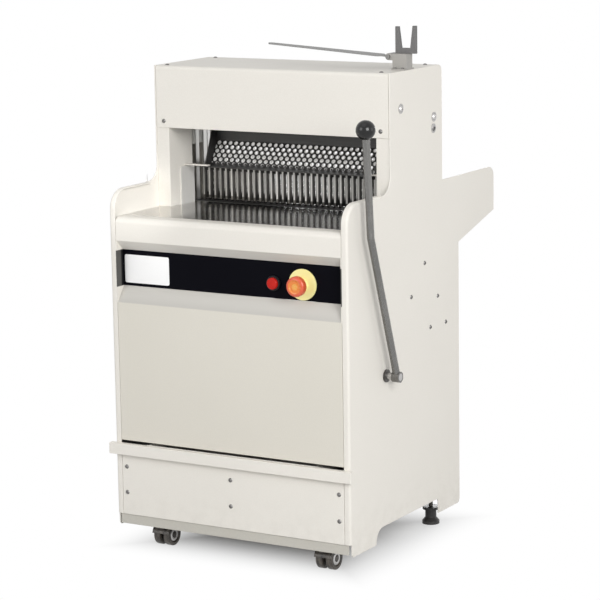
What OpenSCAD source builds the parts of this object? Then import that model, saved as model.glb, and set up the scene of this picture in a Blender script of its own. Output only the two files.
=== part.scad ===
// Free-standing bakery bread slicer with a hand lever that drives the loaf pusher.
// Bench frame used by the modules: X = 0 on the middle plane, with the lever at +X,
// Y = 0 on the front plane and + to the rear, Z = 0 on the floor.
// The finished part is moved so that its origin is the centre of its box on the floor.

/* [Cabinet] */
// Width over the side panels
body_w = 600; // [560:5:680]
// Thickness of the bent sheets
sheet = 3; // [2:0.25:3.5]
// Outer radius of the bend along the front of a side panel
bend_r = 6; // [5:0.5:8]
// Width of the front flange of a side panel
flange_w = 15; // [12:1:18]
// Gap between a front cover and the flange beside it
cover_seam = 0.8; // [0.4:0.1:0.9]
// Depth to the end of the outlet wings
body_depth = 704; // [690:2:760]
// Depth of the cabinet below the outlet wings
cabinet_depth = 520; // [510:2:560]
// Height of the leg bottoms
leg_bottom = 50; // [45:1:53]
// Underside of the base pan
base_z = 84; // [82:1:95]
// Radius of the arch between the legs
arch_r = 30; // [20:1:32]
// Front end of the arch
arch_front = 115; // [100:1:140]
// Distance from the cabinet's rear to the arch
arch_rear = 108; // [90:1:125]
// Radius at the rear end of the arch
arch_rear_r = 8; // [4:1:20]
// Bevel at the front bottom corner of a leg
leg_bevel = 5; // [3:1:20]
// Radius at the rear bottom corner of a leg
leg_corner = 12; // [8:1:20]

/* [Wings and column] */
// Top of the wings
wing_top = 812; // [790:2:840]
// Radius at the front corner of a front wing
wing_corner = 45; // [30:1:60]
// Radius where a front wing meets the column
column_fillet = 36; // [20:1:42]
// Radius at the rear corner of an outlet wing
outlet_corner = 24; // [10:1:36]
// Height of the outlet wing's rear edge
outlet_edge = 102; // [90:1:110]
// Height where the outlet wing leaves the cabinet
outlet_root = 660; // [640:1:670]
// Front edge of the column
column_front = 194; // [186:1:204]
// Depth of the column
column_depth = 246; // [242:1:280]
// Top of the column
column_top = 1070; // [1060:5:1120]
// Radius at the rear top corner of the column
hood_corner = 15; // [10:1:25]
// Radius at the front top corner of the hood
hood_front_r = 8; // [5:1:14]
// Gap between the hood and a side panel
hood_seam = 0.8; // [0.4:0.1:0.9]
// Depth of the lip under the hood's front edge
hood_lip = 21; // [12:1:30]
// Height of the throat's upper edge
throat_top = 930; // [920:1:945]
// Width of the space beside the throat for the frame rails
side_space = 32; // [30:1:36]
// Set-back of the column liners behind the column edge
liner_setback = 2; // [1:0.5:4]
// Depth of the column liners
liner_depth = 95; // [85:1:105]

/* [Tables] */
// Height of the feed and outlet tables
table_z = 750; // [735:1:765]
// Front edge of the feed table
table_front = 26; // [20:1:36]
// Distance from the outlet table's end to the slots for the pusher's uprights
slot_margin = 95; // [60:1:95]
// Gap from the blades to the tables and frames
blade_gap = 4; // [3:0.5:6]
// Clear space round a frame rail in a table
rail_clear = 2; // [1:0.5:3]

/* [Front covers] */
// Radius of the apron's nose
nose_r = 14; // [8:1:18]
// Depth of the apron's flange on the table
apron_depth = 40; // [34:1:60]
// Set-back of the control strip
control_setback = 25; // [18:1:29]
// Lower edge of the control strip
control_bottom = 597; // [585:1:605]
// Height of the control strip
control_h = 80; // [70:1:85]
// Height of the bevel above the control strip
upper_bevel = 23; // [15:1:30]
// Height of the slope below the control strip
lower_slope = 36; // [25:1:45]
// Thickness of the control strip's end cheeks
cheek_t = 2; // [1.5:0.5:3]
// Lower edge of the front cover
cover_bottom = 249; // [248:1:260]
// Depth of the folded edges of the covers
cover_fold = 20; // [12:1:24]
// Lower edge of the plinth panel
plinth_bottom = 78; // [70:1:82]
// Upper edge of the plinth panel
plinth_top = 216; // [205:1:216]
// Lower edge of the base pan's front lip
base_lip_bottom = 55; // [54:1:62]
// Gap beside the base pan's front lip
base_lip_gap = 4; // [3.5:0.5:14]

/* [Crumb drawer] */
// Height of the drawer's front lip
lip_h = 25; // [20:1:27]
// Depth of the drawer's front lip
lip_depth = 14; // [10:1:18]
// Overhang of the front lip beyond the side panels
lip_overhang = 9; // [4:1:12]
// Gap between the drawer and what it slides along
drawer_clear = 0.3; // [0.2:0.1:0.5]
// Sheet of the drawer
drawer_t = 2; // [1.5:0.25:2.5]
// Depth of the drawer's tray
tray_depth = 400; // [350:5:430]
// Height of the drawer's tray
tray_h = 22.4; // [18:0.1:26.5]
// Length of the drawer runners
runner_depth = 312; // [280:2:316]

/* [Blades] */
// Distance from the column edge to the blade plane
blade_setback = 152; // [148:1:156]
// Pitch of the blades, which is the slice thickness
blade_pitch = 15; // [13:0.5:20]
// Thickness of a blade
blade_t = 1; // [0.8:0.1:1.4]
// Depth of a blade
blade_depth = 12; // [10:0.5:14]
// Margin between the outer blade and the throat wall
blade_margin = 7; // [5:1:10]
// Depth of the scallops on a blade's cutting edge
scallop_depth = 1.5; // [0.8:0.1:2.5]
// Length of one scallop
scallop_pitch = 15; // [10:1:20]
// Height of a blade's end tab
tab_h = 15; // [10:1:18]
// Depth of a blade frame
frame_t = 14; // [12:1:16]
// Height of a frame beam
beam_h = 30; // [24:1:34]
// Underside of the lower frame beam
frame_bottom = 620; // [612:1:628]
// Top of the upper frame beam
frame_top = 1005; // [998:1:1020]
// Width of a frame rail
rail_w = 12; // [10:1:14]
// Gap between a rail and its guide
guide_clear = 0.3; // [0.2:0.05:0.4]
// Wall of a rail guide
guide_wall = 8; // [6:1:10]
// Height of a rail guide
guide_h = 40; // [30:1:44]
// Underside of the lower rail guides
guide_low = 680; // [672:1:690]
// Underside of the upper rail guides
guide_high = 880; // [850:1:900]

/* [Loaf guard] */
// Width of the throat that the loaf guard leaves free
guard_w = 95; // [80:1:150]
// Distance from the liners' front to the guard
guard_setback = 60; // [50:1:70]
// Sheet of the loaf guard
guard_t = 2.5; // [2:0.25:3]
// Height of the guard's lip over the table
guard_rise = 86; // [84:1:95]
// Depth of the guard's lip
guard_lip = 40; // [32:1:44]
// Depth of the guard's slope
guard_run = 30; // [24:1:34]
// Height of the guard's slope
guard_slope = 54; // [48:1:60]
// Height of the guard's flange
guard_flange = 55; // [45:1:60]
// Diameter of the guard's holes
guard_hole = 7; // [5:0.5:7.5]
// Pitch of the guard's holes along a row
guard_pitch = 15; // [13:0.5:18]
// Number of rows of holes
guard_rows = 6; // [4:1:6]
// Depth of a guard bracket
bracket_depth = 12; // [10:1:18]
// Overlap of a guard bracket on the guard
bracket_overlap = 15; // [10:1:25]
// Thickness of the polished side guides
guide_plate_t = 3; // [2:0.25:4]
// Depth of the polished side guides
guide_plate_depth = 55; // [45:1:60]
// Reach of the side guides behind the guard's front edge
guide_plate_past = 37; // [25:1:45]

/* [Pusher] */
// Thickness of a pusher finger
finger_t = 5; // [3:0.5:7]
// Reach of a finger in front of the blade plane
finger_reach = 36; // [30:1:40]
// Length of a finger
finger_l = 74; // [70:1:80]
// Height of a finger
finger_h = 75; // [65:1:76]
// Width of a finger's arms
finger_w = 12; // [9:1:15]
// Height of the fingers over the table
finger_rise = 7; // [5:0.5:10]
// Depth of the bars behind the fingers
pusher_bar_t = 6; // [5:0.5:8]
// Depth of a pusher upright
upright_depth = 20; // [16:1:22]
// Width of a tie bar and of an upright
tie_w = 6; // [5:0.5:7]
// Height of a tie bar
tie_h = 12; // [10:0.5:14]
// Diameter of the guide rods
guide_rod_d = 12; // [10:0.5:14]
// Drop of the guide rods below the tables
rod_drop = 36; // [34:0.5:40]
// Front end of the guide rods
rod_front = 33; // [30:1:40]
// Length of the guide rods
rod_l = 613; // [609:1:618]
// Side of a sliding sleeve
sleeve_d = 24; // [22:0.5:26]
// Length of a sliding sleeve
sleeve_l = 40; // [36:1:42]
// Thickness of a rod bracket
rod_bracket_t = 6; // [4:0.5:8]
// Gap beside an upright in its table slot
slot_clear = 2; // [1:0.25:3]

/* [Lever] */
// Distance from the side panel to the lever
lever_offset = 27; // [26:0.5:34]
// Depth of the lever pivot
lever_y = 165; // [150:1:175]
// Height of the lever pivot
lever_z = 418; // [405:1:430]
// Depth of the lever's bend
lever_bend_y = 53; // [45:1:65]
// Height of the lever's bend
lever_bend_z = 738; // [700:1:760]
// Depth of the ball knob
knob_y = 36; // [25:1:50]
// Height of the ball knob
knob_z = 967; // [930:1:1000]
// Diameter of the lever rod
lever_d = 16; // [12:0.5:18]
// Diameter of the ball knob
knob_d = 42; // [36:1:46]
// Diameter of the lever hub
lever_hub_d = 24; // [22:1:34]
// Width of the lever hub
lever_hub_w = 18; // [16:1:28]
// Diameter of the lever's cross shaft
lever_shaft_d = 16; // [14:0.5:18]
// Swing of the lever in degrees
lever_swing = 40; // [30:1:42]
// Diameter of a lever bush
bush_d = 22; // [20:1:26]
// Diameter of a bush's flange
bush_flange_d = 28; // [27:1:36]
// Thickness of a bush's flange
bush_flange_t = 4; // [3:0.5:6]
// Length of a bush inside the panel
bush_inside = 9; // [6:0.5:10]
// Thickness of a lever arm
arm_t = 6; // [5:0.5:7]
// Gap between a tie bar and a lever arm
arm_gap = 5.5; // [4:0.5:6]
// Diameter of a lever arm's hub
arm_hub_d = 36; // [32:1:42]
// Diameter of the carriage pins
pin_d = 12; // [10:0.5:13]
// Play of a carriage pin on each side of the fork slot
pin_play = 2.6; // [2.4:0.1:3.2]
// Wall beside a fork slot
fork_wall = 7; // [5:0.5:9]

/* [Drive] */
// Height of the crankshaft
crank_z = 410; // [402:1:418]
// Diameter of the crankshaft
crank_d = 25; // [22:0.5:25]
// Diameter of an eccentric
eccentric_d = 60; // [60:1:66]
// Distance of a connecting rod from the middle plane
conrod_x = 60; // [45:1:80]
// Width of a connecting rod
conrod_w = 16; // [12:1:20]
// Wall of a connecting rod's big end
conrod_wall = 12; // [9:1:15]
// Length of a connecting rod
conrod_l = 158; // [154:1:162]
// Diameter of a connecting rod's small end
small_end_d = 28; // [24:1:30]
// Gap beside a connecting rod in its clevis
clevis_gap = 1; // [0.5:0.25:2]
// Thickness of a clevis lug
lug_t = 6; // [5:0.5:8]
// Diameter of the wrist pin hole in a lug
wrist_d = 14; // [10:0.5:16]
// Wall round the wrist pin hole in a lug
lug_wall = 6; // [4:0.5:8]
// Side of a flange bearing
bearing_side = 90; // [80:1:100]
// Thickness of a bearing flange
bearing_t = 14; // [10:1:16]
// Length of a bearing boss
bearing_boss = 8; // [5:1:12]
// Diameter of a bearing boss
bearing_boss_d = 60; // [46:1:64]
// Distance from the side panel to the belt plane
belt_inset = 58; // [54:1:64]
// Width of the pulleys
pulley_w = 28; // [22:1:32]
// Diameter of the crank pulley
crank_pulley_d = 200; // [180:2:210]
// Diameter of the motor pulley
motor_pulley_d = 80; // [76:1:90]
// Width of a pulley groove
groove_w = 11; // [10.8:0.1:12]
// Depth of a pulley groove
groove_depth = 11; // [10:0.5:12]
// Width of the belt
belt_w = 10; // [8:0.5:10.2]
// Thickness of the belt
belt_t = 8; // [6:0.5:8.5]
// Gap between the belt and the bottom of a groove
belt_clear = 0.6; // [0.5:0.05:1]
// Distance from the cabinet's rear to the motor axis
motor_y = 90; // [80:1:100]
// Diameter of the motor body
motor_d = 120; // [110:1:126]
// Length of the motor body
motor_l = 200; // [180:2:220]
// Gap below the motor body
motor_lift = 5; // [3:0.5:8]
// Diameter of the motor shaft
motor_shaft_d = 19; // [16:0.5:22]
// Gap between the motor and its pulley
motor_gap = 35; // [20:1:45]

/* [Controls] */
// Distance from the control strip's right end to the emergency stop
estop_x = 108; // [85:1:135]
// Height of the emergency stop over the control strip's lower edge
estop_rise = 35; // [34.5:0.5:45]
// Diameter of the yellow collar
collar_d = 68; // [56:1:68.5]
// Thickness of the yellow collar
collar_t = 3; // [2:0.5:5]
// Diameter of the emergency stop head
estop_d = 44; // [36:1:50]
// Thickness of the emergency stop head
estop_t = 18; // [14:1:22]
// Radius of the emergency stop head's rim
estop_rim = 6; // [3:0.5:7]
// Reach of the emergency stop head in front of the front plane
estop_reach = 12; // [8:1:14]
// Diameter of the emergency stop stem
estop_stem_d = 16; // [12:1:20]
// Diameter of the barrels behind the control strip
barrel_d = 22; // [20.5:0.5:26]
// Length of the barrels behind the control strip
barrel_l = 15; // [10:1:24]
// Distance from the control strip's right end to the red button
button_x = 179; // [170:1:215]
// Height of the red button over the control strip's lower edge
button_rise = 33; // [24:1:45]
// Diameter of the red button's bezel
bezel_d = 32; // [28:1:36]
// Depth of the red button's bezel
bezel_t = 7; // [6:0.5:9]
// Diameter of the red button's cap
cap_d = 26; // [18:0.5:27]
// Thickness of the red button's cap
cap_t = 7; // [6:0.5:9]
// Radius round the front of the red button's cap
cap_round = 3; // [1:0.5:4]
// Diameter of the red button's stem
button_stem_d = 10; // [6:0.5:14]

/* [Bagging set] */
// Distance from the side panel's outer face to the bracket block
bag_inset = 2; // [1:0.5:10]
// Width of the bracket block
bag_block_w = 34; // [30:1:46]
// Front face of the bracket block behind the column edge
bag_setback = 81; // [70:1:100]
// Depth of the bracket block
bag_block_depth = 29; // [26:1:34]
// Height of the bracket block
bag_block_h = 35; // [30:1:42]
// Thickness of the bracket block's foot plate
bag_base_t = 3; // [2:0.5:5]
// Overhang of the foot plate before and behind the block
bag_base_over = 7; // [4:1:12]
// Overhang of the fork beyond the bracket block
fork_overhang = 18; // [8:1:20]
// Width of the fork
fork_w = 50; // [44:1:56]
// Height of the fork
fork_h = 60; // [50:1:70]
// Height of the fork's base
fork_base_h = 12; // [9:1:16]
// Thickness of the fork
fork_t = 8; // [5:0.5:10]
// Width of a prong at its root
prong_root = 14; // [11:0.5:16]
// Width of a prong at its tip
prong_tip = 8; // [5:0.5:10]
// Distance from the bracket block to the tongue's pin
tongue_pin_gap = 10; // [9:0.5:13]
// Drop of the tongue's pin below the block's top
tongue_pin_drop = 7; // [6:0.5:10]
// Diameter of the tongue's pin
tongue_pin_d = 6; // [5:0.5:7]
// Thickness of the pin's heads
pin_head_t = 3; // [2:0.5:4]
// Diameter of the ears and of the tongue's knuckle
knuckle_d = 15; // [13:0.5:17]
// Thickness of an ear
ear_t = 5; // [4:0.5:7]
// Length of the tongue
tongue_l = 309; // [260:1:330]
// Width of the tongue near its root
tongue_w = 38; // [28:1:40]
// Width of the tongue's tip
tongue_tip_w = 16; // [10:1:20]
// Thickness of the tongue
tongue_t = 3; // [2:0.25:4]
// Upward tilt of the tongue in degrees
tongue_tilt = 3.8; // [0:0.1:6]

/* [Casters and feet] */
// Distance from the side panel's outer face to a caster's stem
caster_inset = 90; // [80:1:120]
// Depth of the caster stems
caster_y = 45; // [44:1:60]
// Trail of a caster's axle
caster_trail = 18; // [12:1:22]
// Diameter of a caster's wheels
wheel_d = 50; // [44:1:51]
// Width of one caster wheel
wheel_w = 16; // [12:0.5:18]
// Thickness of a caster's web
web_t = 8; // [6:0.5:10]
// Gap beside and over a caster wheel
wheel_clear = 1.5; // [0.8:0.1:2]
// Thickness of a caster's hood
caster_hood_t = 3; // [2:0.5:4]
// Diameter of a caster's swivel head
swivel_d = 44; // [36:1:48]
// Thickness of a caster's swivel head
swivel_t = 7; // [5:0.5:9]
// Side of a caster's plate
caster_plate = 60; // [54:1:66]
// Diameter of a caster's stem
stem_d = 10; // [8:0.5:12]
// Diameter of a caster's axle
axle_d = 8; // [6:0.5:9]
// Distance from the side panel's outer face to a foot
foot_inset = 60; // [40:1:75]
// Distance from the cabinet's rear to the feet
foot_y = 30; // [25:1:80]
// Diameter of a foot's pad
foot_d = 40; // [34:1:46]
// Diameter of a foot's neck
foot_neck_d = 26; // [20:1:30]
// Diameter of a foot's upper flange
foot_flange_d = 38; // [32:1:42]
// Height of a foot's upper flange
foot_h = 40; // [36:1:48]
// Diameter of a foot's stud
stud_d = 10; // [8:0.5:12]
// Length of a foot's stud above the base pan
stud_over = 13; // [8:1:20]

/* [Screws and vents] */
// Diameter of a screw head
screw_d = 10; // [7:0.5:11]
// Height of a screw head
screw_h = 3; // [2:0.25:3.5]
// Width of a screw's socket
socket_d = 5; // [3:0.5:5.5]
// Diameter of a frame bolt's head
bolt_d = 14; // [11:0.5:16]
// Height of a frame bolt's head
bolt_h = 4.5; // [3:0.25:5]
// Width of a frame bolt's socket
bolt_socket_d = 7; // [4:0.5:8]
// Distance of the corner screws from an edge
screw_inset = 12; // [9:0.5:16]
// Number of vent slots in the rear panel
vent_rows = 8; // [4:1:10]
// Width of a vent slot
vent_w = 150; // [90:5:180]
// Height of a vent slot
vent_h = 6; // [4:0.5:8]
// Pitch of the vent slots
vent_pitch = 16; // [12:1:20]
// Diameter of the cable gland
gland_d = 24; // [20:1:30]
// Length of the cable gland
gland_l = 26; // [18:1:34]

/* [Hidden] */
$fn = 48;

// Radial play of a pin or shaft in its bore
fit = 0.05;
// Length by which a cutting shape runs past the face it cuts
over = 1;
// Play between faces that slide past each other
slide_play = 0.3;

cream = [0.91, 0.89, 0.84];
beige = [0.86, 0.84, 0.78];
steel = [0.74, 0.75, 0.76];
grey = [0.52, 0.52, 0.53];
dark = [0.20, 0.20, 0.21];
black = [0.05, 0.05, 0.06];
red = [0.80, 0.08, 0.06];
orange = [0.90, 0.32, 0.12];
yellow = [0.93, 0.76, 0.15];

// Side panels and throat
outer_x = body_w / 2;
inner_x = outer_x - sheet;
flange_in = outer_x - flange_w;
cover_x = flange_in - cover_seam;
column_rear = column_front + column_depth;
flange_end = column_front - column_fillet - 8;
arch_end = cabinet_depth - arch_rear;
hood_x = inner_x - hood_seam;
outlet_low = wing_top - outlet_edge;
throat_x = inner_x - side_space;
liner_front = column_front + liner_setback;

// Front covers, from the table down
apron_bend = control_bottom + control_h + upper_bevel;
control_top = control_bottom + control_h;
cover_bend = control_bottom - lower_slope;
nose_z = table_z + sheet - nose_r;
base_lip_x = inner_x - base_lip_gap;

// Blades and their frames
blade_y = column_front + blade_setback;
blade_count = floor(2 * (throat_x - blade_margin) / blade_pitch) + 1;
blade_front = blade_y - blade_depth / 2;
blade_rear = blade_y + blade_depth / 2;
feed_end = blade_front - blade_gap;
outlet_start = blade_rear + blade_gap;
front_frame_y = feed_end - frame_t / 2;
rear_frame_y = outlet_start + frame_t / 2;
rail_x = throat_x + side_space / 2;
rail_in = rail_x - rail_w / 2;
rail_out = rail_x + rail_w / 2;
blade_low = frame_bottom + beam_h / 2 - tab_h / 3;
blade_high = frame_top - beam_h / 2 + tab_h / 3;
guide_in = rail_in + 2;

// Loaf guard
guard_x = throat_x - guard_w / 2;
guard_front = liner_front + guard_setback;
guard_z = table_z + guard_rise;
guard_bend = guard_front + guard_lip;
guard_rear = guard_bend + guard_run;
guard_length = norm([guard_run, guard_slope]);
guard_angle = atan2(guard_slope, guard_run);

// Pusher
finger_front = blade_y - finger_reach;
finger_rear = finger_front + finger_l;
finger_z = table_z + finger_rise;
pusher_x = (throat_x - blade_margin + rail_in) / 2;
rod_z = table_z - rod_drop;
sleeve_top = rod_z + sleeve_d / 2;
tie_z = rod_z - sleeve_d / 2 - tie_h / 2;

// Lever and its arms
lever_x = outer_x + lever_offset;
lever_lean = atan2(lever_y - lever_bend_y, lever_bend_z - lever_z);
knob_lean = atan2(lever_bend_y - knob_y, knob_z - lever_bend_z);
arm_rise = tie_z - lever_z;
pin_y = lever_y - arm_rise * tan(lever_lean);
arm_x = pusher_x + tie_w / 2 + arm_gap;
slot_w = pin_d + 2 * pin_play;
slot_low = arm_rise - pin_d / 2 - 3;
arm_top = arm_rise / cos(max(lever_lean, lever_swing - lever_lean)) + pin_d / 2 + 9;

// Drive
crank_y = blade_y;
front_throw = crank_y - front_frame_y;
rear_throw = rear_frame_y - crank_y;
belt_x = inner_x - belt_inset;
motor_at = cabinet_depth - motor_y;
motor_z = base_z + sheet + motor_lift + motor_d / 2;
motor_face = belt_x - pulley_w / 2 - motor_gap;
wrist_z = crank_z + conrod_l;

// Drawer
runner_top = plinth_top + 1 + sheet;
tray_z = runner_top + drawer_clear;
tray_x = belt_x - pulley_w / 2 - 10;
lip_z = plinth_top + 2;

// Controls
estop_at = flange_in - estop_x;
button_at = flange_in - button_x;
estop_z = control_bottom + estop_rise;
button_z = control_bottom + button_rise;
control_back = control_setback + sheet;

// Bagging set
bag_right = outer_x - bag_inset;
bag_left = bag_right - bag_block_w;
bag_front = column_front + bag_setback;
bag_rear = bag_front + bag_block_depth;
bag_top = column_top + bag_block_h;
tongue_x = bag_left - tongue_pin_gap;
tongue_z = bag_top - tongue_pin_drop;

// Casters
caster_x = outer_x - caster_inset;
foot_x = outer_x - foot_inset;
foot_at = cabinet_depth - foot_y;
swivel_top = base_z - sheet;
swivel_low = swivel_top - swivel_t;
axle_y = caster_y + caster_trail;
wheel_r = wheel_d / 2;

// Bolts and screws of a side panel, as depth and height
frame_bolts = [
  [column_front + 50, column_top - 80], [column_rear - 40, throat_top + 27], [column_rear - 43, throat_top + 2]
];
side_screws = [
  [blade_y + 5, guide_low - 43], [blade_y - 60, crank_z + 161], [blade_y + 68, crank_z + 143],
  [cabinet_depth - 67, crank_z + 77], [blade_y + 31, crank_z + 78]
];

// Box of the whole part in the bench frame
part_left = -outer_x - lip_overhang;
part_right = lever_x + knob_d / 2;
part_front = -lip_depth - drawer_clear;
part_centre = [(part_left + part_right) / 2, (part_front + body_depth) / 2, 0];

// Points of a round stretch of an outline
function arc(c, r, a0, a1, n = 10) =
  [for (i = [0:n]) let (a = a0 + (a1 - a0) * i / n) c + r * [cos(a), sin(a)]];

// Left-hand normal of the line between two points
function normal(a, b) = [a[1] - b[1], b[0] - a[0]] / norm(b - a);

// Offset of a point on a folded line, mitred between its two neighbours
function mitre(p, i) =
  i == 0 ? normal(p[0], p[1])
  : i == len(p) - 1 ? normal(p[i - 1], p[i])
  : let (a = normal(p[i - 1], p[i]), b = normal(p[i], p[i + 1])) (a + b) / (1 + a * b);

// Section of a folded sheet that lies on the left of a line
function folded(p, t) = concat(p, [for (i = [len(p) - 1:-1:0]) p[i] + t * mitre(p, i)]);

// Place of a blade across the machine
function blade_at(i) = (i - (blade_count - 1) / 2) * blade_pitch;

module in_part_frame() translate(-part_centre) children();

module box(low, high) translate(low) cube(high - low);

module both_sides() {
  children();
  mirror([1, 0, 0]) children();
}

// Profile drawn in Y and Z, swept along X
module sweep_x(x, length) translate([x, 0, 0]) rotate([90, 0, 90]) linear_extrude(length) children();

// Profile drawn in X and Z, swept along Y
module sweep_y(y, length) translate([0, y + length, 0]) rotate([90, 0, 0]) linear_extrude(length) children();

module bar_x(p, d, length) translate(p) rotate([0, 90, 0]) cylinder(d = d, h = length);

module bar_y(p, d, length) translate(p) rotate([-90, 0, 0]) cylinder(d = d, h = length);

module bar_z(p, d, length) translate(p) cylinder(d = d, h = length);

// Straight bar between two points
module bar(p, q, d) {
  v = q - p;
  translate(p) rotate([0, acos(v[2] / norm(v)), atan2(v[1], v[0])]) cylinder(d = d, h = norm(v));
}

// Quarter of a bent sheet in section, starting at an angle
module quarter_bend(c, r, turn) translate(c) rotate(turn) intersection() {
  difference() {
    circle(r);
    circle(r - sheet);
  }
  square(r);
}

// Outline of a side panel's flat sheet, in depth and height
module panel_outline() polygon(concat(
  [[bend_r, leg_bottom + leg_bevel]],
  arc([wing_corner, wing_top - wing_corner], wing_corner - bend_r, 180, 90),
  [[flange_end, wing_top - bend_r], [flange_end, wing_top]],
  arc([column_front - column_fillet, wing_top + column_fillet], column_fillet, 270, 360),
  [[column_front, column_top]],
  arc([column_rear - hood_corner, column_top - hood_corner], hood_corner, 90, 0),
  [[column_rear, wing_top]],
  arc([body_depth - outlet_corner, wing_top - outlet_corner], outlet_corner, 90, 0),
  [[body_depth, outlet_low], [cabinet_depth, outlet_root]],
  arc([cabinet_depth - leg_corner, leg_bottom + leg_corner], leg_corner, 0, -90),
  [[arch_end, leg_bottom]],
  arc([arch_end - arch_rear_r, base_z - arch_rear_r], arch_rear_r, 0, 90),
  arc([arch_front + arch_r, base_z - arch_r], arch_r, 90, 180),
  [[arch_front, leg_bottom], [bend_r + leg_bevel, leg_bottom]]
));

// Section of the front flange: X across, and the distance in from the panel's front edge
module flange_section() {
  translate([outer_x - bend_r, bend_r]) rotate(-90) intersection() {
    difference() {
      circle(bend_r);
      circle(bend_r - sheet);
    }
    square(bend_r);
  }
  translate([flange_in, 0]) square([flange_w - bend_r, sheet]);
  translate([inner_x, bend_r]) square([sheet, over]);
}

module side_panel() {
  corner = [0, wing_corner, wing_top - wing_corner];
  difference() {
    sweep_x(inner_x, sheet) panel_outline();
    bar_x([inner_x - over, lever_y, lever_z], bush_d, sheet + 2 * over);
  }
  translate([0, 0, plinth_bottom]) linear_extrude(corner[2] - plinth_bottom) flange_section();
  translate(corner) rotate([90, 0, 90]) rotate(90) rotate_extrude(angle = 90)
    translate([wing_corner, 0]) rotate(90) flange_section();
  sweep_y(wing_corner, flange_end - wing_corner)
    translate([0, wing_top]) mirror([0, 1]) flange_section();
}

module right_side_panel() color(cream) side_panel();

module left_side_panel() color(cream) mirror([1, 0, 0]) side_panel();

module hood() color(cream) sweep_x(-hood_x, 2 * hood_x) {
  translate([column_front, throat_top]) square([sheet, column_top - hood_front_r - throat_top]);
  quarter_bend([column_front + hood_front_r, column_top - hood_front_r], hood_front_r, 90);
  translate([column_front + hood_front_r, column_top - sheet])
    square([column_depth - hood_front_r - hood_corner, sheet]);
  quarter_bend([column_rear - hood_corner, column_top - hood_corner], hood_corner, 0);
  translate([column_rear - sheet, throat_top]) square([sheet, column_top - hood_corner - throat_top]);
  translate([column_front, throat_top]) square([hood_lip, sheet]);
}

// Strip beside the throat with its inner wall
module column_liners() color(cream) both_sides() translate([0, 0, table_z]) linear_extrude(throat_top - table_z) {
  translate([throat_x, liner_front]) square([side_space, sheet]);
  translate([throat_x, liner_front]) square([sheet, liner_depth]);
}

module rear_jambs() color(cream) both_sides()
  box([pusher_x + tie_w / 2 + 3.5, column_rear - 2 * sheet, table_z], [inner_x, column_rear - sheet, throat_top]);

module feed_table() color(steel) difference() {
  box([-inner_x, table_front, table_z - sheet], [inner_x, feed_end, table_z]);
  both_sides() box([rail_in - rail_clear, front_frame_y - frame_t / 2 - rail_clear, table_z - sheet - over],
                   [inner_x + over, feed_end + over, table_z + over]);
}

module outlet_table() color(steel) difference() {
  box([-inner_x, outlet_start, table_z - sheet], [inner_x, body_depth, table_z]);
  both_sides() {
    box([rail_in - rail_clear, outlet_start - over, table_z - sheet - over],
        [inner_x + over, outlet_start + frame_t + rail_clear, table_z + over]);
    box([pusher_x - tie_w / 2 - slot_clear, finger_rear - slot_clear, table_z - sheet - over],
        [pusher_x + tie_w / 2 + slot_clear, body_depth - slot_margin, table_z + over]);
  }
}

module front_apron() color(cream) sweep_x(-cover_x, 2 * cover_x) {
  translate([nose_r, table_z]) square([apron_depth - nose_r, sheet]);
  quarter_bend([nose_r, nose_z], nose_r, 90);
  polygon(folded([[0, nose_z], [0, apron_bend], [control_setback, control_top]], sheet));
}

module control_panel() color(black) {
  difference() {
    box([-flange_in, control_setback, control_bottom], [flange_in, control_back, control_top]);
    bar_y([estop_at, control_setback - over, estop_z], barrel_d + 2 * fit, sheet + 2 * over);
    bar_y([button_at, control_setback - over, button_z], barrel_d + 2 * fit, sheet + 2 * over);
  }
  both_sides() sweep_x(flange_in - cheek_t, cheek_t) polygon([
    [0, cover_bend], [control_setback, control_bottom], [control_setback, control_top], [0, apron_bend]
  ]);
}

module front_cover() color(beige) sweep_x(-cover_x, 2 * cover_x) polygon(folded([
  [control_setback, control_bottom], [0, cover_bend], [0, cover_bottom], [cover_fold, cover_bottom]
], sheet));

module plinth_panel() color(cream) sweep_x(-cover_x, 2 * cover_x)
  polygon(folded([[cover_fold, plinth_top], [0, plinth_top], [0, plinth_bottom]], sheet));

module base_pan() color(cream) difference() {
  union() {
    box([-inner_x, bend_r, base_z], [inner_x, cabinet_depth - sheet, base_z + sheet]);
    box([-base_lip_x, sheet, base_lip_bottom], [base_lip_x, 2 * sheet, base_z + sheet]);
  }
  both_sides() {
    bar_z([caster_x, caster_y, base_z - over], stem_d + 4, sheet + 2 * over);
    bar_z([foot_x, foot_at, base_z - over], stud_d + 2 * fit, sheet + 2 * over);
  }
}

module rear_panel() color(cream) difference() {
  box([-inner_x, cabinet_depth - sheet, base_lip_bottom], [inner_x, cabinet_depth, outlet_root - sheet]);
  both_sides() for (i = [0:vent_rows - 1]) {
    low = control_bottom - 60 - i * vent_pitch;
    box([outer_x / 2 - vent_w / 2, cabinet_depth - sheet - over, low],
        [outer_x / 2 + vent_w / 2, cabinet_depth + over, low + vent_h]);
  }
  bar_y([-outer_x / 2, cabinet_depth - sheet - over, base_z + 40], gland_d - 8 + 2 * fit, sheet + 2 * over);
}

module outlet_skirt() color(cream) sweep_x(-inner_x, 2 * inner_x) polygon(folded([
  [cabinet_depth, outlet_root], [body_depth, outlet_low], [body_depth, table_z - sheet]
], sheet));

// Button head with a hexagon socket, on the plane Z = 0
module screw_head(d = screw_d, h = screw_h, socket = socket_d) {
  ball_r = (d * d / 4 + h * h) / (2 * h);
  difference() {
    intersection() {
      translate([0, 0, h - ball_r]) sphere(ball_r);
      cylinder(d = d + over, h = h + over);
    }
    translate([0, 0, h * 0.4]) cylinder(d = socket, h = h, $fn = 6);
  }
}

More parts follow.
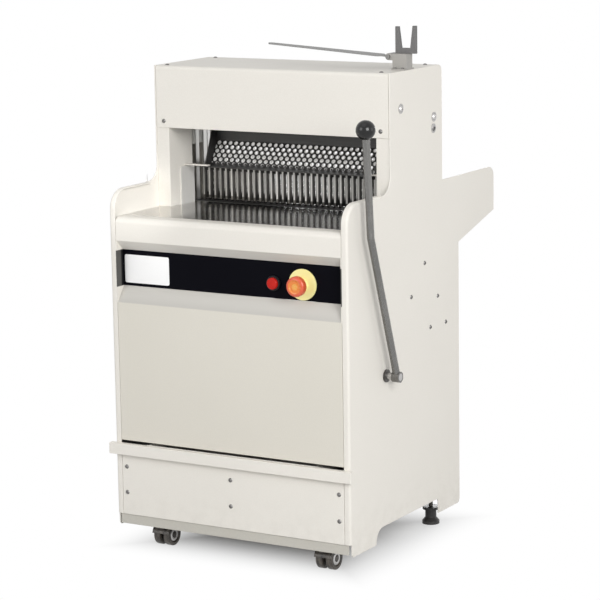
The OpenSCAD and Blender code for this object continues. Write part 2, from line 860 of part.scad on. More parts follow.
module cover_screws() color(dark) {
  plinth_mid = (plinth_top + plinth_bottom) / 2;
  for (x = [-cover_x + screw_inset, 0, cover_x - screw_inset], z = [plinth_mid - 18, plinth_mid + 41])
    translate([x, 0, z]) rotate([90, 0, 0]) screw_head();
  both_sides() {
    for (y = [column_front + 14, column_rear - 28])
      translate([inner_x - 2 * screw_inset, y, column_top]) screw_head();
    translate([inner_x - 2 * screw_inset + 4, column_front, throat_top + 15]) rotate([90, 0, 0]) screw_head();
    for (p = frame_bolts)
      translate([outer_x, p[0], p[1]]) rotate([0, 90, 0]) screw_head(bolt_d, bolt_h, bolt_socket_d);
    for (p = side_screws)
      translate([outer_x, p[0], p[1]]) rotate([0, 90, 0]) screw_head();
    for (z = [base_z + 3 * screw_inset, outlet_root - 3 * screw_inset])
      translate([inner_x - screw_inset, cabinet_depth, z]) rotate([-90, 0, 0]) screw_head();
  }
}

module loaf_guard() color(grey) {
  row_pitch = guard_length / guard_rows;
  columns = floor((2 * guard_x - guard_pitch) / guard_pitch);
  lean = [cos(guard_angle), sin(guard_angle)];
  difference() {
    sweep_x(-guard_x, 2 * guard_x) polygon(folded([
      [guard_front, guard_z], [guard_bend, guard_z],
      [guard_rear, guard_z + guard_slope], [guard_rear, guard_z + guard_slope + guard_flange]
    ], guard_t));
    for (row = [0:guard_rows - 1], i = [0:columns - row % 2 - 1]) {
      along = (row + 0.5) * row_pitch;
      x = (i - (columns - row % 2 - 1) / 2) * guard_pitch;
      translate([x, guard_bend + along * lean[0], guard_z + along * lean[1]])
        rotate([guard_angle, 0, 0]) translate([0, 0, -over]) cylinder(d = guard_hole, h = guard_t + 2 * over);
    }
  }
  both_sides() sweep_x(guard_x, guard_t) polygon([
    [guard_front + bracket_depth + 2, guard_z], [guard_bend, guard_z], [guard_rear, guard_z + guard_slope],
    [guard_rear, guard_z + guard_slope + guard_flange], [guard_rear - 10, guard_z + guard_slope + guard_flange]
  ]);
}

module guard_brackets() color(cream) both_sides()
  box([guard_x - bracket_overlap, guard_front, guard_z + guard_t],
      [throat_x, guard_front + bracket_depth, guard_z + guard_t + sheet]);

module side_guides() color(steel) both_sides()
  box([throat_x - guide_plate_t, guard_front + guide_plate_past - guide_plate_depth, table_z],
      [throat_x, guard_front + guide_plate_past, guard_z]);

// Block with one channel for each frame's rail, on the side panel
module frame_guides() color(dark) both_sides() for (z = [guide_low, guide_high]) difference() {
  box([guide_in, front_frame_y - frame_t / 2 - guide_wall, z],
      [inner_x, rear_frame_y + frame_t / 2 + guide_wall, z + guide_h]);
  for (y = [front_frame_y, rear_frame_y])
    box([guide_in - over, y - frame_t / 2 - guide_clear, z - over],
        [rail_out + guide_clear, y + frame_t / 2 + guide_clear, z + guide_h + over]);
}

module crank_bearings() color(grey) both_sides() difference() {
  union() {
    box([inner_x - bearing_t, crank_y - bearing_side / 2, crank_z - bearing_side / 2],
        [inner_x, crank_y + bearing_side / 2, crank_z + bearing_side / 2]);
    bar_x([inner_x - bearing_t - bearing_boss, crank_y, crank_z], bearing_boss_d, bearing_boss + over);
  }
  bar_x([inner_x - bearing_t - bearing_boss - over, crank_y, crank_z], crank_d + 2 * fit,
        bearing_t + bearing_boss + 2 * over);
}

module lever_bushes() color(dark) both_sides() difference() {
  union() {
    bar_x([inner_x - bush_inside, lever_y, lever_z], bush_d, bush_inside + sheet + over);
    bar_x([outer_x, lever_y, lever_z], bush_flange_d, bush_flange_t);
  }
  bar_x([inner_x - bush_inside - over, lever_y, lever_z], lever_shaft_d + 2 * fit,
        bush_inside + sheet + bush_flange_t + 2 * over);
}

// Ribbed motor on two feet, with a blind bore for the pulley's shaft
module motor() color(dark) {
  rib_count = 24;
  bell_l = 22;
  shaft_hole = 30;
  foot_w = motor_d * 0.85;
  difference() {
    union() {
      bar_x([motor_face - motor_l, motor_at, motor_z], motor_d - 14, motor_l);
      for (x = [motor_face - motor_l, motor_face - bell_l])
        bar_x([x, motor_at, motor_z], motor_d, bell_l);
      for (i = [0:rib_count - 1])
        translate([motor_face - motor_l, motor_at, motor_z]) rotate([360 * i / rib_count, 0, 0])
          translate([0, -1, 0]) cube([motor_l, 2, motor_d / 2 - 1]);
      for (x = [motor_face - motor_l + 2, motor_face - 32])
        box([x, motor_at - foot_w / 2, base_z + sheet], [x + 30, motor_at + foot_w / 2, motor_z - motor_d / 4]);
    }
    bar_x([motor_face - shaft_hole, motor_at, motor_z], motor_shaft_d + 2 * fit, shaft_hole + over);
  }
}

// Outline of the belt's loop, at a distance from the bottom of the grooves
function belt_loop(gap) =
  let (
    a = [crank_y, crank_z],
    b = [motor_at, motor_z],
    ra = crank_pulley_d / 2 - groove_depth + gap,
    rb = motor_pulley_d / 2 - groove_depth + gap,
    turn = atan2(b[1] - a[1], b[0] - a[0]),
    spread = acos((ra - rb) / norm(b - a))
  )
  concat(arc(a, ra, turn + spread, turn + 360 - spread, 32), arc(b, rb, turn - spread, turn + spread, 20));

module drive_belt() color(black) sweep_x(belt_x - belt_w / 2, belt_w) difference() {
  polygon(belt_loop(belt_clear + belt_t));
  polygon(belt_loop(belt_clear));
}

// Angle strip on each side panel that carries the drawer
module drawer_runners() color(steel) both_sides() sweep_y(2 * sheet + 2, runner_depth) polygon(folded([
  [tray_x - 10, runner_top - sheet], [inner_x, runner_top - sheet], [inner_x, runner_top + 2 * cover_fold]
], sheet));

module pusher_rods() color(steel) both_sides() bar_y([pusher_x, rod_front, rod_z], guide_rod_d, rod_l);

module rod_brackets() color(grey) both_sides()
  for (y = [rod_front, rod_front + rod_l - rod_bracket_t]) difference() {
    box([pusher_x - guide_rod_d, y, rod_z - guide_rod_d - 2], [inner_x, y + rod_bracket_t, rod_z + guide_rod_d + 2]);
    bar_y([pusher_x, y - over, rod_z], guide_rod_d + 2 * fit, rod_bracket_t + 2 * over);
  }

module estop_collar() color(yellow) difference() {
  union() {
    bar_y([estop_at, control_setback - collar_t, estop_z], collar_d, collar_t);
    bar_y([estop_at, control_setback - collar_t - 6, estop_z], estop_stem_d + 12, 7);
    bar_y([estop_at, control_setback - over, estop_z], barrel_d, sheet + barrel_l + over);
  }
  bar_y([estop_at, control_setback - collar_t - 6 - over, estop_z], estop_stem_d + 2 * fit,
        collar_t + sheet + barrel_l + 6 + 2 * over);
}

module button_bezel() color(black) difference() {
  union() {
    bar_y([button_at, control_setback - bezel_t, button_z], bezel_d, bezel_t);
    bar_y([button_at, control_setback - over, button_z], barrel_d, sheet + barrel_l + over);
  }
  bar_y([button_at, control_setback - bezel_t - over, button_z], cap_d + 2 * slide_play, bezel_t + over - 0.5);
  bar_y([button_at, control_setback - bezel_t - over, button_z], button_stem_d + 2 * fit,
        bezel_t + sheet + barrel_l + 2 * over);
}

module bag_bracket() color(grey) {
  box([bag_left, bag_front, column_top], [bag_right, bag_rear, bag_top]);
  box([bag_left, bag_front - bag_base_over, column_top],
      [bag_right, bag_rear + bag_base_over, column_top + bag_base_t]);
  for (y = [bag_front, bag_rear - ear_t]) difference() {
    union() {
      bar_y([tongue_x, y, tongue_z], knuckle_d, ear_t);
      box([tongue_x, y, tongue_z - knuckle_d / 2], [bag_left + over, y + ear_t, tongue_z + knuckle_d / 2 - 1]);
    }
    bar_y([tongue_x, y - over, tongue_z], tongue_pin_d + 2 * fit, ear_t + 2 * over);
  }
}

// Upright fork that holds the mouth of a bag open
module bag_fork() color(grey) {
  right = bag_right + fork_overhang;
  left = right - fork_w;
  sweep_y(bag_front + (bag_block_depth - fork_t) / 2, fork_t) polygon([
    [left, bag_top], [right, bag_top], [right, bag_top + fork_h], [right - prong_tip, bag_top + fork_h],
    [right - prong_root, bag_top + fork_base_h], [left + prong_root, bag_top + fork_base_h],
    [left + prong_tip, bag_top + fork_h - 2], [left, bag_top + fork_h - 2]
  ]);
}

// Hinge pin with a flat head at each end
module tongue_pin() color(dark) {
  bar_y([tongue_x, bag_front, tongue_z], tongue_pin_d, bag_block_depth);
  for (y = [bag_front - pin_head_t, bag_rear])
    bar_y([tongue_x, y, tongue_z], tongue_pin_d + 4, pin_head_t);
}

module caster_plates() color(dark) both_sides() difference() {
  translate([caster_x - caster_plate / 2, caster_y - caster_plate / 2 + 6, swivel_top])
    cube([caster_plate, caster_plate, sheet]);
  bar_z([caster_x, caster_y, swivel_top - over], stem_d + 2 * fit, sheet + 2 * over);
}

// Gland for the mains lead, low on the rear panel
module cable_gland() color(black) {
  place = [-outer_x / 2, cabinet_depth, base_z + 40];
  difference() {
    union() {
      translate(place) rotate([-90, 0, 0]) cylinder(d = gland_d, h = gland_l / 2, $fn = 6);
      bar_y(place + [0, gland_l / 2 - over, 0], gland_d - 6, gland_l / 2 + over);
      bar_y(place - [0, sheet + 8, 0], gland_d - 8, sheet + 8 + over);
    }
    bar_y(place - [0, sheet + 8 + over, 0], gland_d - 16, gland_l + sheet + 8 + 2 * over);
  }
}

// Straight length of the lever rod, cut at the mitre of its bend
module lever_half(from, upper) {
  bend = [lever_x, lever_bend_y, lever_bend_z];
  reach = knob_z;
  intersection() {
    bar(from, bend + lever_d * (bend - from) / norm(bend - from), lever_d);
    translate(bend) rotate([(lever_lean + knob_lean) / 2, 0, 0])
      translate([-lever_d, -reach / 2, upper ? 0 : -reach]) cube([2 * lever_d, reach, reach]);
  }
}

// Bent rod with its hub on the cross shaft
module lever_rod() color(steel) difference() {
  union() {
    lever_half([lever_x, lever_y, lever_z], false);
    lever_half([lever_x, knob_y, knob_z], true);
    bar_x([lever_x - lever_hub_w / 2, lever_y, lever_z], lever_hub_d, lever_hub_w);
  }
  bar_x([lever_x - lever_hub_w / 2 - over, lever_y, lever_z], lever_shaft_d + 2 * fit, lever_hub_w + 2 * over);
}

module ball_knob() color(black) {
  knob = [lever_x, knob_y, knob_z];
  down = [0, lever_bend_y - knob_y, lever_bend_z - knob_z];
  difference() {
    translate(knob) sphere(d = knob_d);
    bar(knob, knob + down * knob_d / norm(down), lever_d + 2 * fit);
  }
}

module lever_shaft() color(steel)
  bar_x([-outer_x - bush_flange_t, lever_y, lever_z], lever_shaft_d,
        outer_x + bush_flange_t + lever_x + lever_hub_w / 2);

// Arm from the cross shaft up to its open fork, leaning with the lever
module lever_arms() color(grey) both_sides() {
  half = slot_w / 2 + fork_wall;
  translate([0, lever_y, lever_z]) sweep_x(arm_x, arm_t) rotate(lever_lean) difference() {
    union() {
      circle(d = arm_hub_d);
      polygon([
        [-arm_hub_d / 3, 0], [arm_hub_d / 3, 0], [half, slot_low - 20], [half, arm_top],
        [-half, arm_top], [-half, slot_low - 20]
      ]);
    }
    circle(d = lever_shaft_d + 2 * fit);
    translate([-slot_w / 2, slot_low]) square([slot_w, arm_top]);
  }
}

// Fingers in the gaps between the blades, each a plate with an open middle
module pusher_fingers() color(steel) for (i = [0:blade_count - 2])
  sweep_x(blade_at(i + 0.5) - finger_t / 2, finger_t) difference() {
    translate([finger_front, finger_z]) square([finger_l, finger_h]);
    translate([finger_front + finger_w, finger_z + finger_w]) square([finger_l, finger_h - 2 * finger_w]);
  }

module pusher_frame() color(steel) {
  bar_half = pusher_x + tie_w / 2;
  for (z = [finger_z, finger_z + finger_h - finger_w])
    box([-bar_half, finger_rear, z], [bar_half, finger_rear + pusher_bar_t, z + finger_w]);
  both_sides()
    box([pusher_x - tie_w / 2, finger_rear, sleeve_top],
        [pusher_x + tie_w / 2, finger_rear + upright_depth, finger_z + finger_h + 6]);
}

// Sleeves on the guide rods, with the tie bars and pins that the lever arms push
module pusher_carriage() color(grey) both_sides() difference() {
  union() {
    box([pusher_x - sleeve_d / 2, finger_rear, rod_z - sleeve_d / 2],
        [pusher_x + sleeve_d / 2, finger_rear + sleeve_l, sleeve_top]);
    box([pusher_x - tie_w / 2, pin_y - pin_d, tie_z - tie_h / 2],
        [pusher_x + tie_w / 2, finger_rear + upright_depth, tie_z + tie_h / 2]);
    bar_x([pusher_x, pin_y, tie_z], pin_d, arm_x - pusher_x + arm_t + 2);
  }
  bar_y([pusher_x, finger_rear - over, rod_z], guide_rod_d + 2 * fit, sleeve_l + 2 * over);
}

// Ring of two rails and two beams, with the clevis for its connecting rod
module blade_frame(y, clevis_x) {
  difference() {
    box([-rail_out, y - frame_t / 2, frame_bottom], [rail_out, y + frame_t / 2, frame_top]);
    box([-rail_in, y - frame_t / 2 - over, frame_bottom + beam_h],
        [rail_in, y + frame_t / 2 + over, frame_top - beam_h]);
  }
  for (side = [-1, 1])
    sweep_x(clevis_x + side * (conrod_w / 2 + clevis_gap + lug_t / 2) - lug_t / 2, lug_t) difference() {
      union() {
        translate([y, wrist_z]) circle(d = wrist_d + 2 * lug_wall);
        translate([y - frame_t / 2, wrist_z]) square([frame_t, frame_bottom - wrist_z]);
      }
      translate([y, wrist_z]) circle(d = wrist_d);
    }
}

module blade_frame_front() color(grey) blade_frame(front_frame_y, -conrod_x);

module blade_frame_rear() color(grey) blade_frame(rear_frame_y, conrod_x);

// Cutting edge as a row of scallops, from the upper end down
function scallops() =
  let (
    count = floor((throat_top - table_z) / scallop_pitch) + 1,
    top = (throat_top + table_z) / 2 + count * scallop_pitch / 2
  )
  [for (i = [0:count - 1], k = [0:3])
    [blade_front + scallop_depth * sin(45 * k), top - (i + k / 4) * scallop_pitch]];

// Blade with a tab at each end that reaches its frame's beam
module blade(x, seat_y) {
  tab_front = min(seat_y, blade_front + 3);
  tab_rear = max(seat_y, blade_rear - 3);
  sweep_x(x - blade_t / 2, blade_t) {
    polygon(concat(
      [[blade_rear, blade_low], [blade_rear, blade_high], [blade_front, blade_high]],
      scallops(), [[blade_front, blade_low]]
    ));
    for (z = [blade_low, blade_high - tab_h])
      translate([tab_front, z]) square([tab_rear - tab_front, tab_h]);
  }
}

module blades_front() color(steel) for (i = [0:2:blade_count - 1]) blade(blade_at(i), feed_end);

module blades_rear() color(steel) for (i = [1:2:blade_count - 1]) blade(blade_at(i), outlet_start);

module crankshaft() color(steel) {
  bar_x([-inner_x + 5, crank_y, crank_z], crank_d, 2 * inner_x - 10);
  bar_x([-conrod_x - conrod_w / 2, crank_y - front_throw, crank_z], eccentric_d, conrod_w);
  bar_x([conrod_x - conrod_w / 2, crank_y + rear_throw, crank_z], eccentric_d, conrod_w);
}

// Turned pulley with a rim, a web and a hub, about the X axis
module pulley(d, bore) rotate([0, 90, 0]) rotate_extrude() difference() {
  groove_r = d / 2 - groove_depth;
  rim_r = groove_r - 7;
  hub_r = bore / 2 + 11;
  translate([bore / 2, -pulley_w / 2]) square([d / 2 - bore / 2, pulley_w]);
  translate([groove_r, -groove_w / 2]) square([groove_depth + over, groove_w]);
  if (rim_r > hub_r + 4)
    for (z = [-pulley_w / 2 - over, 6])
      translate([hub_r, z]) square([rim_r - hub_r, pulley_w / 2 - 6 + over]);
}

module crank_pulley() color(grey)
  translate([belt_x, crank_y, crank_z]) pulley(crank_pulley_d, crank_d + 2 * fit);

// Connecting rod about its big end, upright
module conrod(x, y) translate([0, y, crank_z]) sweep_x(x - conrod_w / 2, conrod_w) difference() {
  union() {
    circle(d = eccentric_d + 2 * conrod_wall);
    translate([0, conrod_l]) circle(d = small_end_d);
    polygon([[-small_end_d / 2, 0], [small_end_d / 2, 0], [small_end_d / 3, conrod_l], [-small_end_d / 3, conrod_l]]);
  }
  circle(d = eccentric_d + 2 * fit);
}

module conrod_front() color(grey) conrod(-conrod_x, crank_y - front_throw);

module conrod_rear() color(grey) conrod(conrod_x, crank_y + rear_throw);

module motor_pulley() color(grey) {
  shaft_in = 24;
  translate([belt_x, motor_at, motor_z]) pulley(motor_pulley_d, motor_shaft_d - 2);
  bar_x([motor_face - shaft_in, motor_at, motor_z], motor_shaft_d, shaft_in + motor_gap + pulley_w);
}

// Open tray with a folded lip across the whole front
module crumb_drawer() color(cream) {
  lip_x = outer_x + lip_overhang;
  difference() {
    box([-tray_x, -drawer_clear - over, tray_z], [tray_x, tray_depth, tray_z + tray_h]);
    box([-tray_x + drawer_t, -drawer_clear + drawer_t, tray_z + drawer_t],
        [tray_x - drawer_t, tray_depth - drawer_t, tray_z + tray_h + over]);
  }
  sweep_x(-lip_x, 2 * lip_x) polygon(folded([
    [-drawer_clear, lip_z + lip_h], [-drawer_clear - lip_depth, lip_z + lip_h],
    [-drawer_clear - lip_depth, lip_z], [-drawer_clear, lip_z]
  ], drawer_t));
  for (x = [-lip_x, lip_x - drawer_t])
    box([x, -drawer_clear - lip_depth, lip_z], [x + drawer_t, -drawer_clear, lip_z + lip_h]);
}

// Mushroom head with a rolled rim round a shallow dish, on its stem
module estop_head() color(orange) translate([estop_at, -estop_reach, estop_z]) rotate([-90, 0, 0]) {
  head_r = estop_d / 2;
  stem_end = estop_reach + control_back + barrel_l;
  rotate_extrude() polygon(concat(
    [[0, estop_rim * (1 - sin(45))]],
    arc([head_r - estop_rim, estop_rim], estop_rim, -135, 0, 8),
    [[head_r, estop_t - 4], [head_r - 3, estop_t], [estop_stem_d / 2, estop_t],
     [estop_stem_d / 2, stem_end], [0, stem_end]]
  ));
}

// Push cap with a rounded front edge, on its stem
module red_button() color(red) {
  front = control_setback - bezel_t + 2 - cap_t;
  stem_end = control_back + barrel_l - front;
  translate([button_at, front, button_z]) rotate([-90, 0, 0]) rotate_extrude() polygon(concat(
    [[0, 0]],
    arc([cap_d / 2 - cap_round, cap_round], cap_round, -90, 0, 6),
    [[cap_d / 2, cap_t], [button_stem_d / 2, cap_t], [button_stem_d / 2, stem_end], [0, stem_end]]
  ));
}

// Slender tongue that a bag's mouth is slipped over, hinged on its pin
module bag_tongue() color(grey) {
  knuckle_l = bag_block_depth - 2 * ear_t - 2 * slide_play;
  neck = knuckle_l / 2;
  translate([tongue_x, (bag_front + bag_rear) / 2, tongue_z]) rotate([0, tongue_tilt, 0]) difference() {
    union() {
      bar_y([0, -neck, 0], knuckle_d, knuckle_l);
      translate([0, 0, -tongue_t / 2]) linear_extrude(tongue_t) polygon(concat(
        [[0, neck], [-knuckle_d - 5, neck], [-knuckle_d - 12, tongue_w / 2]],
        arc([-tongue_l + tongue_tip_w / 2, 0], tongue_tip_w / 2, 90, 270),
        [[-knuckle_d - 12, -tongue_w / 2], [-knuckle_d - 5, -neck], [0, -neck]]
      ));
    }
    bar_y([0, -neck - over, 0], tongue_pin_d + 2 * fit, knuckle_l + 2 * over);
  }
}

// Swivel head, neck, web and hood over the wheels
module caster_fork() {
  hood_in = wheel_r + wheel_clear;
  hood_out = hood_in + caster_hood_t;
  half_w = web_t / 2 + wheel_clear + wheel_w;
  difference() {
    union() {
      bar_z([caster_x, caster_y, swivel_low], swivel_d, swivel_t);
      bar_z([caster_x, caster_y, swivel_low], stem_d, swivel_t + 2 * sheet + 5);
      bar_z([caster_x, caster_y, wheel_r + 18], swivel_d * 0.6, swivel_low - wheel_r - 18 + over);
      intersection() {
        bar_x([caster_x - half_w, axle_y, wheel_r], 2 * hood_out, 2 * half_w);
        box([caster_x - half_w, axle_y - hood_out, wheel_r + 6],
            [caster_x + half_w, axle_y + hood_out * 0.75, wheel_r + hood_out]);
      }
    }
    for (x = [caster_x - half_w - over, caster_x + web_t / 2])
      bar_x([x, axle_y, wheel_r], 2 * hood_in, half_w - web_t / 2 + over);
  }
  difference() {
    sweep_x(caster_x - web_t / 2, web_t) {
      translate([axle_y, wheel_r]) circle(d = axle_d + 14);
      polygon([
        [axle_y - axle_d / 2 - 7, wheel_r], [axle_y + axle_d / 2 + 7, wheel_r],
        [axle_y + axle_d / 2 + 7, wheel_r + 12], [axle_y - axle_d / 2 - 7, wheel_r + 12]
      ]);
    }
    bar_x([caster_x - web_t, axle_y, wheel_r], axle_d + 2 * fit, 2 * web_t);
  }
}

// Twin wheels with rounded treads on one axle
module caster_wheels() {
  gap = web_t / 2 + wheel_clear / 2;
  tread = 2.5;
  translate([caster_x, axle_y, wheel_r]) rotate([0, 90, 0]) {
    cylinder(d = axle_d, h = 2 * (gap + wheel_w), center = true);
    for (turn = [0, 180]) rotate([turn, 0, 0]) translate([0, 0, gap]) rotate_extrude() polygon(concat(
      [[0, 0], [wheel_r - tread, 0]],
      arc([wheel_r - tread, tread], tread, -90, 0, 4),
      arc([wheel_r - tread, wheel_w - tread], tread, 0, 90, 4),
      [[wheel_r * 0.72, wheel_w], [wheel_r * 0.62, wheel_w - 3], [wheel_r * 0.3, wheel_w - 3],
       [wheel_r * 0.25, wheel_w], [0, wheel_w]]
    ));
  }
}

module right_caster_fork() color(dark) caster_fork();

module left_caster_fork() color(dark) mirror([1, 0, 0]) caster_fork();

module right_caster_wheels() color(dark) caster_wheels();

module left_caster_wheels() color(dark) mirror([1, 0, 0]) caster_wheels();

// Levelling foot with a rubber pad and a stud into the base pan
module levelling_foot() translate([foot_x, foot_at, 0]) rotate_extrude() polygon([
  [0, 0], [foot_d / 2, 0], [foot_d / 2, 7], [foot_neck_d / 2, 15], [foot_neck_d / 2, foot_h - 6],
  [foot_flange_d / 2, foot_h - 6], [foot_flange_d / 2, foot_h], [stud_d / 2, foot_h],
  [stud_d / 2, base_z + sheet + stud_over], [0, base_z + sheet + stud_over]
]);

module right_foot() color(black) levelling_foot();

module left_foot() color(black) mirror([1, 0, 0]) levelling_foot();

in_part_frame() left_side_panel();
in_part_frame() right_side_panel();
in_part_frame() hood();
in_part_frame() column_liners();
in_part_frame() rear_jambs();
in_part_frame() feed_table();
in_part_frame() outlet_table();
in_part_frame() front_apron();
in_part_frame() control_panel();
in_part_frame() front_cover();
in_part_frame() plinth_panel();
in_part_frame() base_pan();
in_part_frame() rear_panel();
in_part_frame() outlet_skirt();
in_part_frame() cover_screws();
in_part_frame() loaf_guard();
in_part_frame() guard_brackets();
in_part_frame() side_guides();
in_part_frame() frame_guides();
in_part_frame() crank_bearings();
in_part_frame() lever_bushes();
in_part_frame() motor();
in_part_frame() drive_belt();
in_part_frame() drawer_runners();
in_part_frame() pusher_rods();
in_part_frame() rod_brackets();
in_part_frame() estop_collar();
in_part_frame() button_bezel();
in_part_frame() bag_bracket();
in_part_frame() bag_fork();
in_part_frame() tongue_pin();
in_part_frame() caster_plates();
in_part_frame() cable_gland();
in_part_frame() lever_rod();
in_part_frame() ball_knob();
in_part_frame() lever_shaft();
in_part_frame() lever_arms();
in_part_frame() pusher_fingers();
in_part_frame() pusher_frame();
in_part_frame() pusher_carriage();
in_part_frame() blade_frame_front();
in_part_frame() blades_front();
in_part_frame() blade_frame_rear();
in_part_frame() blades_rear();
in_part_frame() crankshaft();
in_part_frame() crank_pulley();
in_part_frame() conrod_front();
in_part_frame() conrod_rear();
in_part_frame() motor_pulley();
in_part_frame() crumb_drawer();
in_part_frame() estop_head();
in_part_frame() red_button();
in_part_frame() bag_tongue();
in_part_frame() left_caster_fork();
in_part_frame() left_caster_wheels();
in_part_frame() right_caster_fork();
in_part_frame() right_caster_wheels();
in_part_frame() left_foot();
in_part_frame() right_foot();
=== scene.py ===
# Bread slicer: finishes, dressed pieces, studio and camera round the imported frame
import math
import bmesh
import bpy
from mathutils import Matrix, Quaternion, Vector


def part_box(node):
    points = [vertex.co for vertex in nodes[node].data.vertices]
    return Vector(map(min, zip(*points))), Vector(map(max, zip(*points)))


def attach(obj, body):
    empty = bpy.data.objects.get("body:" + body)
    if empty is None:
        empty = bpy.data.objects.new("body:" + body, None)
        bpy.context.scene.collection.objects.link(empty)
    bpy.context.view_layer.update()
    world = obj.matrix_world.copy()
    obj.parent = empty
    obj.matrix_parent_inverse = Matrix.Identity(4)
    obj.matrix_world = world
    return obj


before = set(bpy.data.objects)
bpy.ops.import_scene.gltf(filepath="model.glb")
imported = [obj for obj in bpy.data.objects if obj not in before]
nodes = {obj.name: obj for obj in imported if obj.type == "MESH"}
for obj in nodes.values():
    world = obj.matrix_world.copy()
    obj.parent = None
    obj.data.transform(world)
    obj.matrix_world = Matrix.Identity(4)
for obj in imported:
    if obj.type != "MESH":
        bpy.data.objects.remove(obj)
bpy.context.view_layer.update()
bpy.ops.object.select_all(action="DESELECT")
print("frame loaded:", len(nodes), "nodes")


class Wire:
    # one output of a shader node; + - * add Math nodes

    def __init__(self, tree, socket):
        self.tree = tree
        self.socket = socket

    def node(self, kind, settings=None, sockets=None, output=0):
        made = self.tree.nodes.new(kind)
        for name, value in (settings or {}).items():
            if name == "stops":
                setStops(made.color_ramp.elements, value)
            else:
                setattr(made, name, value)
        for name, value in (sockets or {}).items():
            if isinstance(value, Wire):
                self.tree.links.new(value.socket, made.inputs[name])
            else:
                made.inputs[name].default_value = value
        return Wire(self.tree, made.outputs[output])

    def math(self, operation, first, second):
        return self.node("ShaderNodeMath", {"operation": operation}, {0: first, 1: second})

    def __add__(self, other):
        return self.math("ADD", self, other)

    def __sub__(self, other):
        return self.math("SUBTRACT", self, other)

    def __rsub__(self, other):
        return self.math("SUBTRACT", other, self)

    def __mul__(self, other):
        return self.math("MULTIPLY", self, other)

    __radd__ = __add__
    __rmul__ = __mul__


def setStops(elements, stops):
    for element, (position, level) in zip(elements, stops):
        element.position = position
        element.color = (level, level, level, 1)


def startFinish(name, constants):
    material = bpy.data.materials.new(name)
    material.use_nodes = True
    tree = material.node_tree
    surface = tree.nodes["Principled BSDF"]
    for socket, value in constants.items():
        surface.inputs[socket].default_value = value
    place = Wire(tree, tree.nodes.new("ShaderNodeTexCoord").outputs["Object"])
    return material, surface, place


fedSockets = {"colour": "Base Color", "roughness": "Roughness", "metal": "Metallic", "coat": "Coat Weight",
              "normal": "Normal"}


def feed(surface, **wires):
    for name, wire in wires.items():
        wire.tree.links.new(wire.socket, surface.inputs[fedSockets[name]])


def grain(place, scale, detail=3, stretch=(1, 1, 1)):
    spread = place.node("ShaderNodeMapping", None, {"Vector": place, "Scale": stretch})
    return spread.node("ShaderNodeTexNoise", None, {"Vector": spread, "Scale": scale, "Detail": detail})


# Black up to low, white from high on
def ramp(wire, low, high):
    return wire.node("ShaderNodeValToRGB", {"stops": [(low, 0), (high, 1)]}, {"Fac": wire})


# Two colours, or wires that carry one, mixed by share
def tint(share, first, second):
    sockets = {0: share}
    for socket, colour in ((6, first), (7, second)):  # where a Mix node takes its colours
        sockets[socket] = colour if isinstance(colour, Wire) else (*colour, 1)
    return share.node("ShaderNodeMix", {"data_type": "RGBA"}, sockets, output=2)


def bump(height, depth):
    return height.node("ShaderNodeBump", None, {"Height": height, "Distance": depth})


def along(place, axis):
    return place.node("ShaderNodeSeparateXYZ", None, {"Vector": place}, "XYZ".index(axis))


# 0 up to start, 1 from full on, smooth between; full may be the smaller one
def rise(wire, start, full):
    limits = {"Value": wire, "From Min": start, "From Max": full}
    return wire.node("ShaderNodeMapRange", {"interpolation_type": "SMOOTHSTEP"}, limits)


# Distance from centre, counted along the axes given
def awayFrom(place, centre, axes):
    mask = tuple(1.0 if axis in axes else 0.0 for axis in "XYZ")
    offset = place.node("ShaderNodeVectorMath", {"operation": "SUBTRACT"}, {0: place, 1: tuple(centre)})
    flat = offset.node("ShaderNodeVectorMath", {"operation": "MULTIPLY"}, {0: offset, 1: mask})
    return flat.node("ShaderNodeVectorMath", {"operation": "LENGTH"}, {0: flat}, 1)


def middle(node):
    low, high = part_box(node)
    return (low + high) / 2


# Sprayed and baked paint: cloudy tone, orange-peel skin, dust near the floor, and painted shade on a slope
# where one is set
paintSkin = {
    "roughness": 0.4, "roughSpread": 0.12, "gloss": 0.3,
    "coat": 0.0, "coatSpread": 0.1, "coatRoughness": 0.22,
    "cloudScale": 4, "speckScale": 420, "speckRange": (0.46, 0.6), "speckShare": 0.25,
    "peelScale": 620, "peelDepth": 0.00005,
    "dust": 0.22, "dustColour": (0.55, 0.52, 0.46), "dustScale": 38, "dustRange": (0.4, 0.75),
    "dustFull": 0.03, "dustTop": 0.2, "dustRough": 0.2,
    "slope": 0,
}
paints = {
    "creamPaint": {"light": (0.83, 0.8, 0.742), "shade": (0.77, 0.74, 0.681)},
    # Front cover: its sloped top is painted darker, as shade under the black strip's overhang
    "coverPaint": {
        "light": (0.72, 0.69, 0.617), "shade": (0.67, 0.641, 0.568),
        "slope": 0.8, "slopeFrom": (0.5605, 0.5635), "slopeColour": (0.53, 0.515, 0.485),
    },
    # Base pan's lip: the cream paint made darker, as painted shade under the plinth, with more dust as well
    "lipShadedPaint": {"light": (0.57, 0.55, 0.497), "shade": (0.5, 0.484, 0.436), "dust": 0.4},
    "greyPaint": {
        "light": (0.27, 0.265, 0.26), "shade": (0.2, 0.197, 0.195), "cloudScale": 14, "speckScale": 600,
    },
    "castGrey": {
        "light": (0.24, 0.25, 0.26), "shade": (0.15, 0.16, 0.17), "roughness": 0.5, "cloudScale": 22,
        "peelScale": 380, "peelDepth": 0.0003,
    },
    "plateWhite": {
        "light": (0.97, 0.97, 0.965), "shade": (0.94, 0.94, 0.935), "cloudScale": 18, "peelScale": 1200,
        "peelDepth": 0.00002,
    },
}


